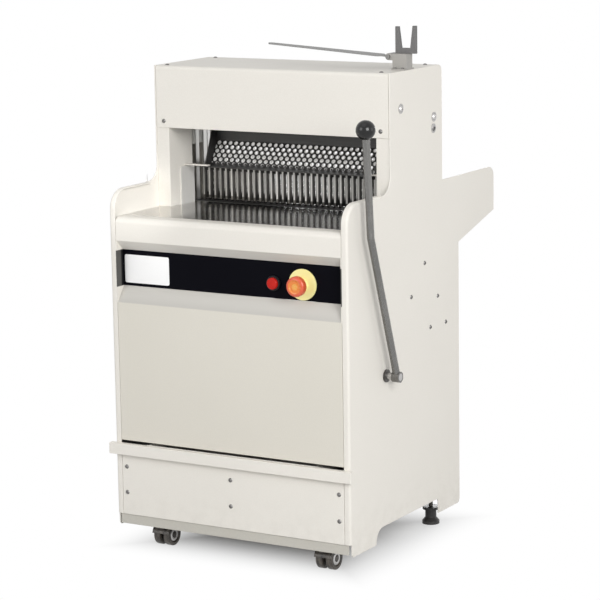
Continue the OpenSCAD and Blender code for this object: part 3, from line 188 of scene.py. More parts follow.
def paintFinish(name, look):
    material, surface, place = startFinish(name, {
        "Coat Roughness": look["coatRoughness"], "Specular IOR Level": look["gloss"]})
    cloud = grain(place, look["cloudScale"])
    speck = ramp(grain(place, look["speckScale"], detail=1), *look["speckRange"])
    tone = cloud * (1 - look["speckShare"]) + speck * look["speckShare"]
    clean = tint(tone, look["shade"], look["light"])
    height = along(place, "Z")
    # Painted shade: darker from this height up, where the cover's slope lies under the strip
    if look["slope"]:
        clean = tint(rise(height, *look["slopeFrom"]) * look["slope"], clean, look["slopeColour"])
    patches = ramp(grain(place, look["dustScale"], detail=4), *look["dustRange"])
    dust = (1 - rise(height, look["dustFull"], look["dustTop"])) * patches
    feed(surface, colour=tint(dust * look["dust"], clean, look["dustColour"]),
         roughness=cloud * look["roughSpread"] + dust * look["dustRough"] + look["roughness"],
         coat=cloud * look["coatSpread"] + look["coat"],
         normal=bump(grain(place, look["peelScale"], detail=2), look["peelDepth"]))
    return material


# Metal with a drawn, brushed or ground grain along one direction, and a few scratches
metalWear = {
    "metal": 1.0, "edge": 1.0, "lineShare": 0.6,
    "scratchScale": 0.3, "scratchRange": (0.62, 0.68), "scratchRough": 0.12,
    # Painted reflection and shade, laid in along X
    "fades": [],  # colours that come in along X: ((start, full), colour)
    # Painted shade band, dark and matt
    "crumbs": None,  # dark matt band: axis, first and last place, width of its soft edges
    "crumbColour": (0.03, 0.027, 0.024), "crumbShare": 0.9, "crumbRough": 0.5,
}
metals = {
    "polishedSteel": {
        "light": (0.52, 0.511, 0.494), "shade": (0.38, 0.373, 0.362), "roughness": 0.1, "roughSpread": 0.1,
        "cloudScale": 6, "lineScale": 260, "stretch": (0.02, 1, 1), "lineDepth": 0.00001, "edge": 0.7,
        "crumbs": ("Y", -0.046, 0.05, 0.012),
        # Painted reflection: bright at the left where the white wing is mirrored, darker to the right under
        # the fingers
        "fades": [((-0.15, -0.215), (0.95, 0.94, 0.92)), ((-0.12, 0.1), (0.23, 0.225, 0.219))],
    },
    "outletSteel": {
        "light": (0.6, 0.59, 0.572), "shade": (0.44, 0.432, 0.42), "roughness": 0.18, "roughSpread": 0.14,
        "cloudScale": 6, "lineScale": 260, "stretch": (1, 0.02, 1), "lineDepth": 0.00001, "edge": 0.7,
        "crumbs": ("Z", 0.0, 0.749, 0.001),
    },
    "guideSteel": {
        "light": (0.86, 0.845, 0.81), "shade": (0.7, 0.687, 0.657), "roughness": 0.32, "roughSpread": 0.16,
        "cloudScale": 9, "lineScale": 300, "stretch": (1, 1, 0.03), "lineDepth": 0.00002, "metal": 0.2,
    },
    "bladeSteel": {
        "light": (0.78, 0.77, 0.75), "shade": (0.55, 0.545, 0.535), "roughness": 0.26, "roughSpread": 0.18,
        "cloudScale": 18, "lineScale": 420, "stretch": (1, 1, 0.03), "lineDepth": 0.00002,
        "crumbs": ("Z", 0.68, 0.775, 0.012),
    },
    "frameSteel": {
        "light": (0.7, 0.69, 0.67), "shade": (0.46, 0.455, 0.445), "roughness": 0.24, "roughSpread": 0.2,
        "cloudScale": 14, "lineScale": 360, "stretch": (1, 1, 0.03), "lineDepth": 0.00002,
    },
    "lightAlloy": {
        "light": (0.5, 0.492, 0.475), "shade": (0.34, 0.334, 0.324), "roughness": 0.48, "roughSpread": 0.16,
        "cloudScale": 16, "lineScale": 420, "stretch": (1, 1, 0.04), "lineDepth": 0.00002,
    },
    "machinedSteel": {
        "light": (0.58, 0.57, 0.56), "shade": (0.4, 0.395, 0.39), "roughness": 0.22, "roughSpread": 0.2,
        "cloudScale": 20, "lineScale": 500, "stretch": (1, 1, 0.05), "lineDepth": 0.00002,
    },
    "leverSteel": {
        "light": (0.28, 0.276, 0.266), "shade": (0.13, 0.128, 0.124), "roughness": 0.2, "roughSpread": 0.14,
        "cloudScale": 20, "lineScale": 600, "stretch": (1, 1, 0.02), "lineDepth": 0.00002,
    },
    "tongueAlloy": {
        "light": (0.33, 0.327, 0.324), "shade": (0.22, 0.218, 0.216), "roughness": 0.5, "roughSpread": 0.16,
        "cloudScale": 24, "lineScale": 520, "stretch": (0.06, 1, 1), "lineDepth": 0.00002, "metal": 0.2,
    },
    "forkSteel": {
        "light": (0.18, 0.177, 0.175), "shade": (0.11, 0.108, 0.107), "roughness": 0.45, "roughSpread": 0.16,
        "cloudScale": 30, "lineScale": 520, "stretch": (1, 1, 0.06), "lineDepth": 0.00002, "metal": 0.4,
    },
    "blockAlloy": {
        "light": (0.4, 0.385, 0.36), "shade": (0.3, 0.29, 0.272), "roughness": 0.45, "roughSpread": 0.16,
        "cloudScale": 30, "lineScale": 420, "stretch": (0.1, 1, 1), "lineDepth": 0.00003, "metal": 0.25,
    },
}


def metalFinish(name, look):
    edge = look["edge"]
    material, surface, place = startFinish(name, {
        "Metallic": look["metal"], "Specular Tint": (edge, edge, edge, 1)})
    lines = grain(place, look["lineScale"], stretch=look["stretch"])
    cloud = grain(place, look["cloudScale"])
    rubs = grain(place, look["lineScale"] * look["scratchScale"], detail=6, stretch=look["stretch"])
    scratch = ramp(rubs, *look["scratchRange"])
    tone = lines * look["lineShare"] + cloud * (1 - look["lineShare"])
    bare = tint(tone, look["shade"], look["light"])
    dull = tone * look["roughSpread"] + scratch * look["scratchRough"] + look["roughness"]
    # Painted reflection: colours laid in along X stand for what the steel mirrors
    for (start, full), colour in look["fades"]:
        bare = tint(rise(along(place, "X"), start, full), bare, colour)
    # Painted shade: a dark band under the fingers on the feed table, below the outlet table's top and low on
    # the blades
    if look["crumbs"]:
        axis, first, last, soft = look["crumbs"]
        distance = along(place, axis)
        crumbs = rise(distance, first, first + soft) * (1 - rise(distance, last - soft, last))
        bare = tint(crumbs * look["crumbShare"], bare, look["crumbColour"])
        dull = dull + crumbs * look["crumbRough"]
    feed(surface, colour=bare,
         roughness=dull,
         normal=bump(lines, look["lineDepth"]))
    return material


# Moulded plastic or rubber: pitted skin and handling marks
plasticSkin = {
    "coat": 0.0, "coatSpread": 0.2, "coatRoughness": 0.1, "stretch": (1, 1, 1), "toneRange": (0.3, 0.7),
    "rubScale": 2.5, "rubRange": (0.52, 0.7),
}
plastics = {
    "knobBlack": {
        "light": (0.009, 0.009, 0.0092), "shade": (0.005, 0.005, 0.0052), "roughness": 0.16,
        "roughSpread": 0.1, "gloss": 0.35, "cloudScale": 30, "pitScale": 900, "pitDepth": 0.00001,
    },
    "bezelBlack": {
        "light": (0.02, 0.019, 0.021), "shade": (0.01, 0.01, 0.012), "roughness": 0.35, "roughSpread": 0.12,
        "gloss": 0.2, "cloudScale": 50, "pitScale": 1200, "pitDepth": 0.00002,
    },
    "redPlastic": {
        "light": (0.55, 0.012, 0.005), "shade": (0.43, 0.008, 0.004), "roughness": 0.3, "roughSpread": 0.12,
        "gloss": 0.2, "cloudScale": 60, "pitScale": 1500, "pitDepth": 0.00001,
    },
    "yellowPlastic": {
        "light": (0.97, 0.93, 0.44), "shade": (0.95, 0.88, 0.36), "roughness": 0.3, "roughSpread": 0.14,
        "gloss": 0.35, "coat": 0.1, "cloudScale": 40, "pitScale": 1200, "pitDepth": 0.00001,
    },
    "guidePlastic": {
        "light": (0.78, 0.77, 0.74), "shade": (0.68, 0.67, 0.64), "roughness": 0.42, "roughSpread": 0.16,
        "gloss": 0.4, "cloudScale": 22, "pitScale": 900, "pitDepth": 0.00003,
    },
    "darkPlastic": {
        "light": (0.075, 0.068, 0.062), "shade": (0.04, 0.037, 0.034), "roughness": 0.4, "roughSpread": 0.2,
        "gloss": 0.4, "cloudScale": 50, "pitScale": 1200, "pitDepth": 0.00004,
    },
    "casterBrown": {
        "light": (0.12, 0.102, 0.085), "shade": (0.014, 0.012, 0.011), "roughness": 0.36, "roughSpread": 0.2,
        "gloss": 0.45, "cloudScale": 130, "stretch": (1, 1, 0.35), "pitScale": 1200, "pitDepth": 0.00006,
    },
    "rubberBlack": {
        "light": (0.03, 0.029, 0.03), "shade": (0.014, 0.014, 0.015), "roughness": 0.5, "roughSpread": 0.2,
        "gloss": 0.4, "cloudScale": 40, "pitScale": 800, "pitDepth": 0.00006,
    },
}


def mouldedFinish(name, look):
    material, surface, place = startFinish(name, {
        "Coat Roughness": look["coatRoughness"], "Specular IOR Level": look["gloss"]})
    cloud = grain(place, look["cloudScale"], stretch=look["stretch"])
    rubbed = ramp(grain(place, look["cloudScale"] * look["rubScale"], detail=4), *look["rubRange"])
    feed(surface, colour=tint(ramp(cloud, *look["toneRange"]), look["shade"], look["light"]),
         roughness=rubbed * look["roughSpread"] + look["roughness"],
         coat=cloud * look["coatSpread"] + look["coat"],
         normal=bump(grain(place, look["pitScale"], detail=2), look["pitDepth"]))
    return material


# Black strip; its end cheeks carry a painted reflection, grey at the front, and painted shade deeper in the
# recess beside it, and are painted cream above and below
stripLook = {
    "light": (0.004, 0.004, 0.0065), "shade": (0.002, 0.002, 0.004), "paint": (0.8, 0.77, 0.71),
    "bottom": 0.597, "top": 0.677, "edge": 0.0012,
    "cheek": (0.11, 0.108, 0.102), "cheekWide": 0.0022, "cheekEdge": 0.0002,
    "cheekShade": (0.012, 0.012, 0.013), "paintedShadeStart": 0.014, "paintedShadeFull": 0.008,
    "roughness": 0.34, "roughSpread": 0.14, "gloss": 0.03,
    "cloudScale": 9, "pitScale": 700, "pitDepth": 0.00001,
}


def stripFinish(look):
    material, surface, place = startFinish("stripBlack", {"Specular IOR Level": look["gloss"]})
    low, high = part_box("control_panel")
    reach = (high.x - low.x) / 2 - look["cheekWide"]
    cheek = rise(awayFrom(place, middle("control_panel"), "X"), reach, reach + look["cheekEdge"])
    cloud = grain(place, look["cloudScale"])
    height = along(place, "Z")
    above = rise(height, look["top"], look["top"] + look["edge"])
    below = 1 - rise(height, look["bottom"] - look["edge"], look["bottom"])
    # Painted shade: the cheek is darker deeper into the recess; its grey front is a painted reflection on
    # the black end
    paintedShade = rise(along(place, "Y"), high.y - look["paintedShadeStart"], high.y - look["paintedShadeFull"])
    end = tint(above + below, tint(paintedShade, look["cheek"], look["cheekShade"]), look["paint"])
    feed(surface, colour=tint(cheek, tint(cloud, look["shade"], look["light"]), end),
         roughness=cloud * look["roughSpread"] + look["roughness"],
         normal=bump(grain(place, look["pitScale"], detail=2), look["pitDepth"]))
    return material


# Emergency stop head: red rim, orange dish, yellow middle
headLook = {
    "rim": (0.7, 0.105, 0.04), "dish": (0.78, 0.225, 0.032), "centre": (0.8, 0.39, 0.075),
    "rimFrom": (0.0145, 0.0165), "dishFrom": (0.005, 0.0085), "rubShare": 0.25, "rubRange": (0.45, 0.9),
    "roughness": 0.2, "roughSpread": 0.16, "coat": 0.2, "coatSpread": 0.1, "coatRoughness": 0.1,
    "cloudScale": 90, "pitScale": 1500, "pitDepth": 0.00001,
}


def headFinish(look):
    material, surface, place = startFinish("orangePlastic", {"Coat Roughness": look["coatRoughness"]})
    away = awayFrom(place, middle("estop_head"), "XZ")
    dish = tint(rise(away, *look["dishFrom"]), look["centre"], look["dish"])
    face = tint(rise(away, *look["rimFrom"]), dish, look["rim"])
    cloud = grain(place, look["cloudScale"])
    feed(surface, colour=tint(ramp(cloud, *look["rubRange"]) * look["rubShare"], face, look["rim"]),
         roughness=cloud * look["roughSpread"] + look["roughness"],
         coat=cloud * look["coatSpread"] + look["coat"],
         normal=bump(grain(place, look["pitScale"], detail=2), look["pitDepth"]))
    return material


# Levelling feet: black pad below, zinc-plated stud above
footLook = {
    "pad": (0.022, 0.021, 0.022), "padDust": (0.05, 0.048, 0.046), "stud": (0.3, 0.29, 0.27),
    "studFrom": (0.0405, 0.041), "studMetal": 0.9, "studPolish": 0.12,
    "threadScale": 180, "threadDepth": 0.0006,
    "roughness": 0.3, "roughSpread": 0.3, "gloss": 0.4, "cloudScale": 60,
}


def footFinish(look):
    material, surface, place = startFinish("footRubber", {"Specular IOR Level": look["gloss"]})
    stud = rise(along(place, "Z"), *look["studFrom"])
    cloud = grain(place, look["cloudScale"], detail=4)
    wave = {"Vector": place, "Scale": look["threadScale"]}
    threads = place.node("ShaderNodeTexWave", {"bands_direction": "Z"}, wave)
    feed(surface, colour=tint(stud, tint(cloud, look["pad"], look["padDust"]), look["stud"]),
         metal=stud * look["studMetal"],
         roughness=cloud * look["roughSpread"] + look["roughness"] - stud * look["studPolish"],
         normal=bump(threads * stud, look["threadDepth"]))
    return material


# Screws: dark below, bright frame bolts up on the columns
screwLook = {
    "dark": (0.13, 0.125, 0.12), "grey": (0.26, 0.255, 0.25), "bright": (0.62, 0.61, 0.6),
    "boltsUp": (0.935, 0.937), "boltsOut": (0.2995, 0.3),
    "roughness": 0.26, "roughSpread": 0.2, "cloudScale": 140, "pitScale": 900, "pitDepth": 0.00002,
}


def screwFinish(look):
    material, surface, place = startFinish("screwSteel", {"Metallic": 1.0})
    outside = rise(awayFrom(place, middle("hood"), "X"), *look["boltsOut"])
    bolts = rise(along(place, "Z"), *look["boltsUp"]) * outside
    cloud = grain(place, look["cloudScale"])
    feed(surface, colour=tint(bolts, tint(cloud, look["dark"], look["grey"]), look["bright"]),
         roughness=cloud * look["roughSpread"] + look["roughness"],
         normal=bump(grain(place, look["pitScale"], detail=2), look["pitDepth"]))
    return material


# Loaf guard: dark steel, with painted light round the holes, bright as if light showed through them
guardLook = {
    "light": (0.075, 0.073, 0.071), "shade": (0.035, 0.034, 0.033), "metal": 0.75,
    "rim": (0.9, 0.89, 0.87), "rimMetal": 0.1, "rimFrom": 0.0044, "rimTo": 0.0052,
    "rows": 6, "pitch": 0.015, "length": 0.06177, "lean": 0.8742, "halfWide": 0.2168, "lip": 0.0405,
    "edge": 0.0005, "endEdge": 0.0003,
    "roughness": 0.34, "roughSpread": 0.18, "lineScale": 300, "stretch": (0.04, 1, 1), "lineDepth": 0.00002,
}


def guardFinish(look):
    material, surface, place = startFinish("guardSteel", {})
    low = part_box("loaf_guard")[0]
    across = along(place, "X") - middle("loaf_guard").x
    up = (along(place, "Z") - low.z) * (1 / look["lean"])
    halfPitch = look["pitch"] / 2
    rowPitch = look["length"] / look["rows"]
    nearest = []
    for start, row in ((halfPitch, 0.5), (0, 1.5)):  # odd and even rows are staggered
        aside = across.math("PINGPONG", across - start, halfPitch)
        over = up.math("PINGPONG", up - row * rowPitch, rowPitch)
        nearest.append(across.math("SQRT", aside * aside + over * over, 0))
    away = across.math("MINIMUM", *nearest)
    sheet = rise(up, 0, look["edge"]) * (1 - rise(up, look["length"] - look["edge"], look["length"]))
    wide = across.math("ABSOLUTE", across, 0)
    inside = 1 - rise(wide, look["halfWide"], look["halfWide"] + look["endEdge"])
    bend = low.y + look["lip"]
    inside = inside * rise(along(place, "Y"), bend, bend + look["edge"])
    # Painted light: bright rings round each hole stand for the light showing through them
    rim = inside * sheet * (1 - rise(away, look["rimFrom"], look["rimTo"]))
    lines = grain(place, look["lineScale"], stretch=look["stretch"])
    feed(surface, colour=tint(rim, tint(lines, look["shade"], look["light"]), look["rim"]),
         metal=look["metal"] - rim * (look["metal"] - look["rimMetal"]),
         roughness=lines * look["roughSpread"] + look["roughness"],
         normal=bump(lines, look["lineDepth"]))
    return material


# Pusher bars: painted highlight down each front edge, fading to the right, with painted shade on the flanks,
# between and under the bars, paler to the left
barLook = {
    "edge": (0.86, 0.845, 0.81), "edgeShaded": (0.13, 0.126, 0.119), "metal": 0.85,
    "paintedShade": (0.04, 0.039, 0.037), "edgeDeep": 0.0008, "darkDeep": 0.004, "rearDeep": (0.06, 0.066),
    "paintedShadePale": (0.2, 0.186, 0.168), "paleTo": (-0.05, 0.1), "paleScale": 60, "paleStretch": (1, 0, 0.2),
    "paleRange": (0.3, 0.7), "footHigh": 0.009, "footEdge": 0.002,
    "pitch": 0.015, "thick": 0.005, "flank": (0.0005, 0.002), "flankDark": 0.8,
    "rightShadeFrom": (0.02, 0.22), "dull": 0.55,
    "barScale": 75, "barStretch": (1, 0, 0.04), "barRange": (0.36, 0.66), "barShare": 0.55,
    "lineShare": 0.25, "cloudShare": 0.2, "cloudScale": 16,
    "roughness": 0.32, "roughSpread": 0.16, "paintedShadeRough": 0.15,
    "lineScale": 420, "stretch": (1, 1, 0.04), "lineDepth": 0.00002,
}


def barFinish(look):
    material, surface, place = startFinish("barAlloy", {"Metallic": look["metal"]})
    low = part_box("pusher_fingers")[0]
    across = along(place, "X")
    inward = along(place, "Y") - low.y
    height = along(place, "Z") - low.z
    # Painted shade: dark under the bars and deeper in between them
    foot = 1 - rise(height, look["footHigh"] - look["footEdge"], look["footHigh"])
    paintedShade = inward.math("MAXIMUM", rise(inward, look["edgeDeep"], look["darkDeep"]), foot)
    lines = grain(place, look["lineScale"], stretch=look["stretch"])
    cloud = grain(place, look["cloudScale"])
    perBar = ramp(grain(place, look["barScale"], detail=2, stretch=look["barStretch"]), *look["barRange"])
    tone = lines * look["lineShare"] + cloud * look["cloudShare"] + perBar * look["barShare"]
    # Painted highlight: a bright line down the middle of each bar, darker flanks, darker to the right
    aside = across.math("PINGPONG", across - (low.x + look["thick"] / 2), look["pitch"] / 2)
    middleLine = 1 - rise(aside, *look["flank"]) * look["flankDark"]
    paintedHighlight = middleLine * (1 - rise(across, *look["rightShadeFrom"]) * look["dull"])
    bare = tint(tone * paintedHighlight, look["edgeShaded"], look["edge"])
    # Painted light: the shade between the bars is paler in patches towards the left
    patches = ramp(grain(place, look["paleScale"], stretch=look["paleStretch"]), *look["paleRange"])
    dark = tint((1 - rise(across, *look["paleTo"])) * patches, look["paintedShade"], look["paintedShadePale"])
    feed(surface, colour=tint(paintedShade * (1 - rise(inward, *look["rearDeep"])), bare, dark),
         roughness=lines * look["roughSpread"] + paintedShade * look["paintedShadeRough"] + look["roughness"],
         normal=bump(lines, look["lineDepth"]))
    return material


# Pusher frame: painted shade, dark on the face towards the blades, bright behind
beamLook = {
    "front": (0.03, 0.029, 0.028), "frontShadeRange": (0.001, 0.0025), "metal": 0.9,
    "light": (0.52, 0.512, 0.495), "shade": (0.36, 0.354, 0.343),
    "roughness": 0.44, "roughSpread": 0.16, "lineScale": 420, "stretch": (0.04, 1, 1), "lineDepth": 0.00002,
}


def beamFinish(look):
    material, surface, place = startFinish("beamAlloy", {"Metallic": look["metal"]})
    behind = rise(along(place, "Y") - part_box("pusher_frame")[0].y, *look["frontShadeRange"])
    lines = grain(place, look["lineScale"], stretch=look["stretch"])
    feed(surface, colour=tint(behind, look["front"], tint(lines, look["shade"], look["light"])),
         roughness=lines * look["roughSpread"] + look["roughness"],
         normal=bump(lines, look["lineDepth"]))
    return material


finishes = {
    "stripBlack": stripFinish(stripLook),
    "orangePlastic": headFinish(headLook),
    "footRubber": footFinish(footLook),
    "screwSteel": screwFinish(screwLook),
    "guardSteel": guardFinish(guardLook),
    "barAlloy": barFinish(barLook),
    "beamAlloy": beamFinish(beamLook),
}
for makeFinish, common, looks in ((paintFinish, paintSkin, paints), (metalFinish, metalWear, metals),
                                  (mouldedFinish, plasticSkin, plastics)):
    for name, look in looks.items():
        finishes[name] = makeFinish(name, {**common, **look})
print("finishes made:", len(finishes))

nodeFinishes = {
    "creamPaint": ["left_side_panel", "right_side_panel", "hood", "column_liners", "rear_jambs",
                   "front_apron", "plinth_panel", "rear_panel", "outlet_skirt", "guard_brackets",
                   "crumb_drawer"],
    "coverPaint": ["front_cover"],
    "lipShadedPaint": ["base_pan"],
    "greyPaint": ["rod_brackets", "lever_arms"],
    "castGrey": ["crank_bearings", "motor", "crank_pulley", "motor_pulley", "conrod_front", "conrod_rear"],
    "polishedSteel": ["feed_table"],
    "outletSteel": ["outlet_table"],
    "guideSteel": ["side_guides"],
    "bladeSteel": ["blades_front", "blades_rear"],
    "frameSteel": ["blade_frame_front", "blade_frame_rear"],
    "lightAlloy": ["pusher_carriage"],
    "beamAlloy": ["pusher_frame"],
    "barAlloy": ["pusher_fingers"],
    "guardSteel": ["loaf_guard"],
    "machinedSteel": ["pusher_rods", "crankshaft", "lever_shaft", "drawer_runners"],
    "leverSteel": ["lever_rod"],
    "screwSteel": ["cover_screws", "tongue_pin"],
    "tongueAlloy": ["bag_tongue"],
    "forkSteel": ["bag_fork"],
    "blockAlloy": ["bag_bracket"],
    "knobBlack": ["ball_knob"],
    "stripBlack": ["control_panel"],
    "bezelBlack": ["button_bezel"],
    "redPlastic": ["red_button"],
    "orangePlastic": ["estop_head"],
    "yellowPlastic": ["estop_collar"],
    "guidePlastic": ["frame_guides"],
    "darkPlastic": ["lever_bushes", "caster_plates", "cable_gland"],
    "casterBrown": ["left_caster_fork", "left_caster_wheels", "right_caster_fork", "right_caster_wheels"],
    "rubberBlack": ["drive_belt"],
    "footRubber": ["left_foot", "right_foot"],
}
for name, members in nodeFinishes.items():
    for member in members:
        nodes[member].data.materials.clear()
        nodes[member].data.materials.append(finishes[name])
print("finished nodes:", sum(len(members) for members in nodeFinishes.values()))

# Folded and cut sheet has broken edges, by width in metres
softEdges = {
    0.0009: ["left_side_panel", "right_side_panel", "hood", "column_liners", "front_apron", "front_cover",
             "plinth_panel", "crumb_drawer", "base_pan", "rear_panel", "outlet_skirt", "rear_jambs"],
    0.0006: ["bag_bracket", "bag_fork", "guard_brackets", "estop_collar", "button_bezel"],
}
meshRules = {"weld": 0.00001, "flatAngle": 0.5, "sharpAngle": 35, "edgeSteps": 2, "faceWeight": 50}


def softenEdges(member, width):
    weld = nodes[member].modifiers.new("joinFacets", "WELD")
    weld.merge_threshold = meshRules["weld"]
    flat = nodes[member].modifiers.new("joinFlats", "DECIMATE")
    flat.decimate_type = "DISSOLVE"
    flat.angle_limit = math.radians(meshRules["flatAngle"])
    edge = nodes[member].modifiers.new("brokenEdge", "BEVEL")
    edge.width = width
    edge.segments = meshRules["edgeSteps"]
    edge.limit_method = "ANGLE"
    edge.angle_limit = math.radians(meshRules["sharpAngle"])
    edge.use_clamp_overlap = False
    shade = nodes[member].modifiers.new("evenShade", "WEIGHTED_NORMAL")
    shade.weight = meshRules["faceWeight"]


for width, members in softEdges.items():
    for member in members:
        softenEdges(member, width)
print("edges softened:", sum(len(members) for members in softEdges.values()))


def startPiece():
    bpy.ops.object.select_all(action="DESELECT")


def pickEdges(piece, test):
    mesh = bmesh.from_edit_mesh(piece.data)
    for edge in mesh.edges:
        edge.select_set(test(*(corner.co for corner in edge.verts)))
    bmesh.update_edit_mesh(piece.data)


def finishPiece(piece, name, body, finish):
    bpy.ops.object.mode_set(mode="OBJECT")
    bpy.ops.object.transform_apply(location=True, rotation=True, scale=True)
    bpy.ops.object.shade_smooth_by_angle(angle=math.radians(meshRules["sharpAngle"]))
    piece.name = name
    piece.data.name = name
    piece.data.materials.append(finishes[finish])
    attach(piece, body)
    piece.select_set(False)


# Blank plate at the left end of the control strip
plateLook = {
    "fromEnd": 0.007, "width": 0.116, "bottom": 0.6035, "height": 0.063, "thick": 0.001, "sheet": 0.003,
    "corner": 0.004, "cornerSteps": 5, "edge": 0.0003, "edgeSteps": 2,
}


def makeBlankPlate(look):
    startPiece()
    low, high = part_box("control_panel")
    face = high.y - look["sheet"]
    front = face - look["thick"]
    centre = (low.x + look["fromEnd"] + look["width"] / 2,
              (face + front) / 2,
              look["bottom"] + look["height"] / 2)
    size = (look["width"], look["thick"], look["height"])
    bpy.ops.mesh.primitive_cube_add(size=1, location=centre, scale=size)
    bpy.ops.object.transform_apply(location=True, rotation=True, scale=True)
    plate = bpy.context.object
    bpy.ops.object.mode_set(mode="EDIT")
    bpy.ops.mesh.select_mode(type="EDGE")
    pickEdges(plate, lambda a, b: abs(a.y - b.y) > look["thick"] / 2)
    bpy.ops.mesh.bevel(offset=look["corner"], segments=look["cornerSteps"], affect="EDGES")
    pickEdges(plate, lambda a, b: max(a.y, b.y) < front + meshRules["weld"])
    bpy.ops.mesh.bevel(offset=look["edge"], segments=look["edgeSteps"], affect="EDGES")
    finishPiece(plate, "blank_plate", "cabinet", "plateWhite")


# Turned piece: a ring grown along an axis through (distance, radius) steps, copied to each place
def makeTurned(look, places):
    startPiece()
    first = Vector(places[0])
    axis = look["axis"]
    line = Vector([1.0 if letter == axis else 0.0 for letter in "XYZ"])
    turn = {"X": (0, math.pi / 2, 0), "Z": (0, 0, 0)}[axis]
    distance, radius = look["steps"][0]
    start = first + line * distance
    bpy.ops.mesh.primitive_circle_add(vertices=look["sides"], radius=radius, location=start, rotation=turn)
    bpy.ops.object.transform_apply(location=True, rotation=True, scale=True)
    piece = bpy.context.object
    bpy.ops.object.mode_set(mode="EDIT")
    bpy.ops.mesh.select_mode(type="EDGE")
    bpy.ops.mesh.select_all(action="SELECT")
    if not look["open"]:
        bpy.ops.mesh.edge_face_add()
    for nextDistance, nextRadius in look["steps"][1:]:
        bpy.ops.mesh.extrude_region_move(TRANSFORM_OT_translate={"value": line * (nextDistance - distance)})
        share = nextRadius / radius
        size = [1.0 if letter == axis else share for letter in "XYZ"]
        bpy.ops.transform.resize(value=size, center_override=first + line * nextDistance)
        distance, radius = nextDistance, nextRadius
    bpy.ops.mesh.select_all(action="SELECT")
    bpy.ops.mesh.remove_doubles(threshold=meshRules["weld"])
    for place in places[1:]:
        bpy.ops.mesh.select_all(action="DESELECT")
        pickNear(piece, first, look["reach"])
        bpy.ops.mesh.duplicate_move(TRANSFORM_OT_translate={"value": Vector(place) - first})
    bpy.ops.mesh.select_all(action="SELECT")
    bpy.ops.mesh.normals_make_consistent(inside=False)
    return piece


def pickNear(piece, place, reach):
    pickEdges(piece, lambda a, b: max((a - place).length, (b - place).length) < reach)
    mesh = bmesh.from_edit_mesh(piece.data)
    mesh.select_flush(True)
    bmesh.update_edit_mesh(piece.data)


# The same steps, grown to the left (-1) or to the right (1)
def facing(look, outward):
    return {**look, "steps": [(distance * outward, radius) for distance, radius in look["steps"]]}


# Washers under the frame bolts of both side panels
washerLook = {
    "axis": "X", "sides": 40, "open": True, "reach": 0.013,
    "steps": [(0, 0.0073), (0, 0.0108), (0.0011, 0.0108), (0.0015, 0.0103), (0.0015, 0.0076),
              (0.0012, 0.0073), (0, 0.0073)],
    "bolts": [(-0.10085, 0.99), (0.05515, 0.957), (0.05215, 0.932)],
}


def makeWashers(look):
    for side, outward in (("left", -1), ("right", 1)):
        low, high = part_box(side + "_side_panel")
        outer = high.x if outward == 1 else low.x
        ring = makeTurned(facing(look, outward), [(outer, y, z) for y, z in look["bolts"]])
        finishPiece(ring, side + "_washers", "cabinet", "machinedSteel")


# Trim rings in the hubs of the caster wheels
hubLook = {
    "axis": "X", "sides": 40, "open": True, "recess": 0.00295,
    "steps": [(0, 0.0079), (0, 0.0148), (0.001, 0.0148), (0.0022, 0.0132), (0.0026, 0.0112),
              (0.0024, 0.009), (0.0018, 0.0079), (0, 0.0079)],
}


def makeHubRings(look):
    for side in ("left", "right"):
        low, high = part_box(side + "_caster_wheels")
        centre = (low + high) / 2
        for end, face, outward in (("left", low.x, -1), ("right", high.x, 1)):
            seat = (face - look["recess"] * outward, centre.y, centre.z)
            ring = makeTurned(facing(look, outward), [seat])
            name = side + "_hub_ring_" + end
            finishPiece(ring, name, side + "_wheels", "machinedSteel")


# Hexagon heads on the foot plate of the bagging bracket
bagBoltLook = {
    "axis": "Z", "sides": 6, "open": False, "reach": 0.006,
    "fromSide": 0.008, "fromEnd": 0.0035, "plate": 0.003, "blockWidth": 0.034,
    "steps": [(0, 0.0033), (0.0002, 0.0033), (0.002, 0.0033), (0.0025, 0.0027)],
}


def makeBagBolts(look):
    low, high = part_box("bag_bracket")
    right = high.x
    left = right - look["blockWidth"]
    places = [(x, y, low.z + look["plate"])
              for x in (left + look["fromSide"], right - look["fromSide"])
              for y in (low.y + look["fromEnd"], high.y - look["fromEnd"])]
    heads = makeTurned(look, places)
    finishPiece(heads, "bag_bolts", "cabinet", "screwSteel")


makeBlankPlate(plateLook)
makeWashers(washerLook)
makeHubRings(hubLook)
makeBagBolts(bagBoltLook)
print("pieces dressed")

# Camera at the photograph's viewing angle, in metres and degrees
photoCamera = {
    "eye": (2.7389, -4.76025, 1.5442),
    "target": (0.0185, -0.09485, 0.55),
    "roll": -0.93,
    "lens": 147.18,
    "sensor": 36,
    "farEnd": 60,
}


def placeCamera(setup):
    eye = Vector(setup["eye"])
    aim = Vector(setup["target"]) - eye
    turn = aim.to_track_quat("-Z", "Y") @ Quaternion((0, 0, 1), math.radians(setup["roll"]))
    bpy.ops.object.camera_add(location=eye, rotation=turn.to_euler())
    camera = bpy.context.object
    camera.name = "photoCamera"
    camera.data.lens = setup["lens"]
    camera.data.sensor_width = setup["sensor"]
    camera.data.clip_end = setup["farEnd"]
    bpy.context.scene.camera = camera


placeCamera(photoCamera)

# Softboxes round the machine, all aimed at its middle
aimPoint = (0, 0, 0.6)
studioLights = {
    "keyLight": {"place": (-2.0, -4.6, 2.3), "size": (2.4, 2.4), "power": 60},
    "sideLight": {"place": (3.3, -2.7, 2.1), "size": (2.0, 2.0), "power": 114},
    "rearSideLight": {"place": (4.4, 1.0, 1.5), "size": (2.0, 2.0), "power": 17},
    "topLight": {"place": (0, -1.6, 3.8), "size": (2.4, 2.4), "power": 10},
    "outletLight": {"place": (-0.7, 2.6, 0.86), "size": (1.6, 0.3), "power": 22},
}
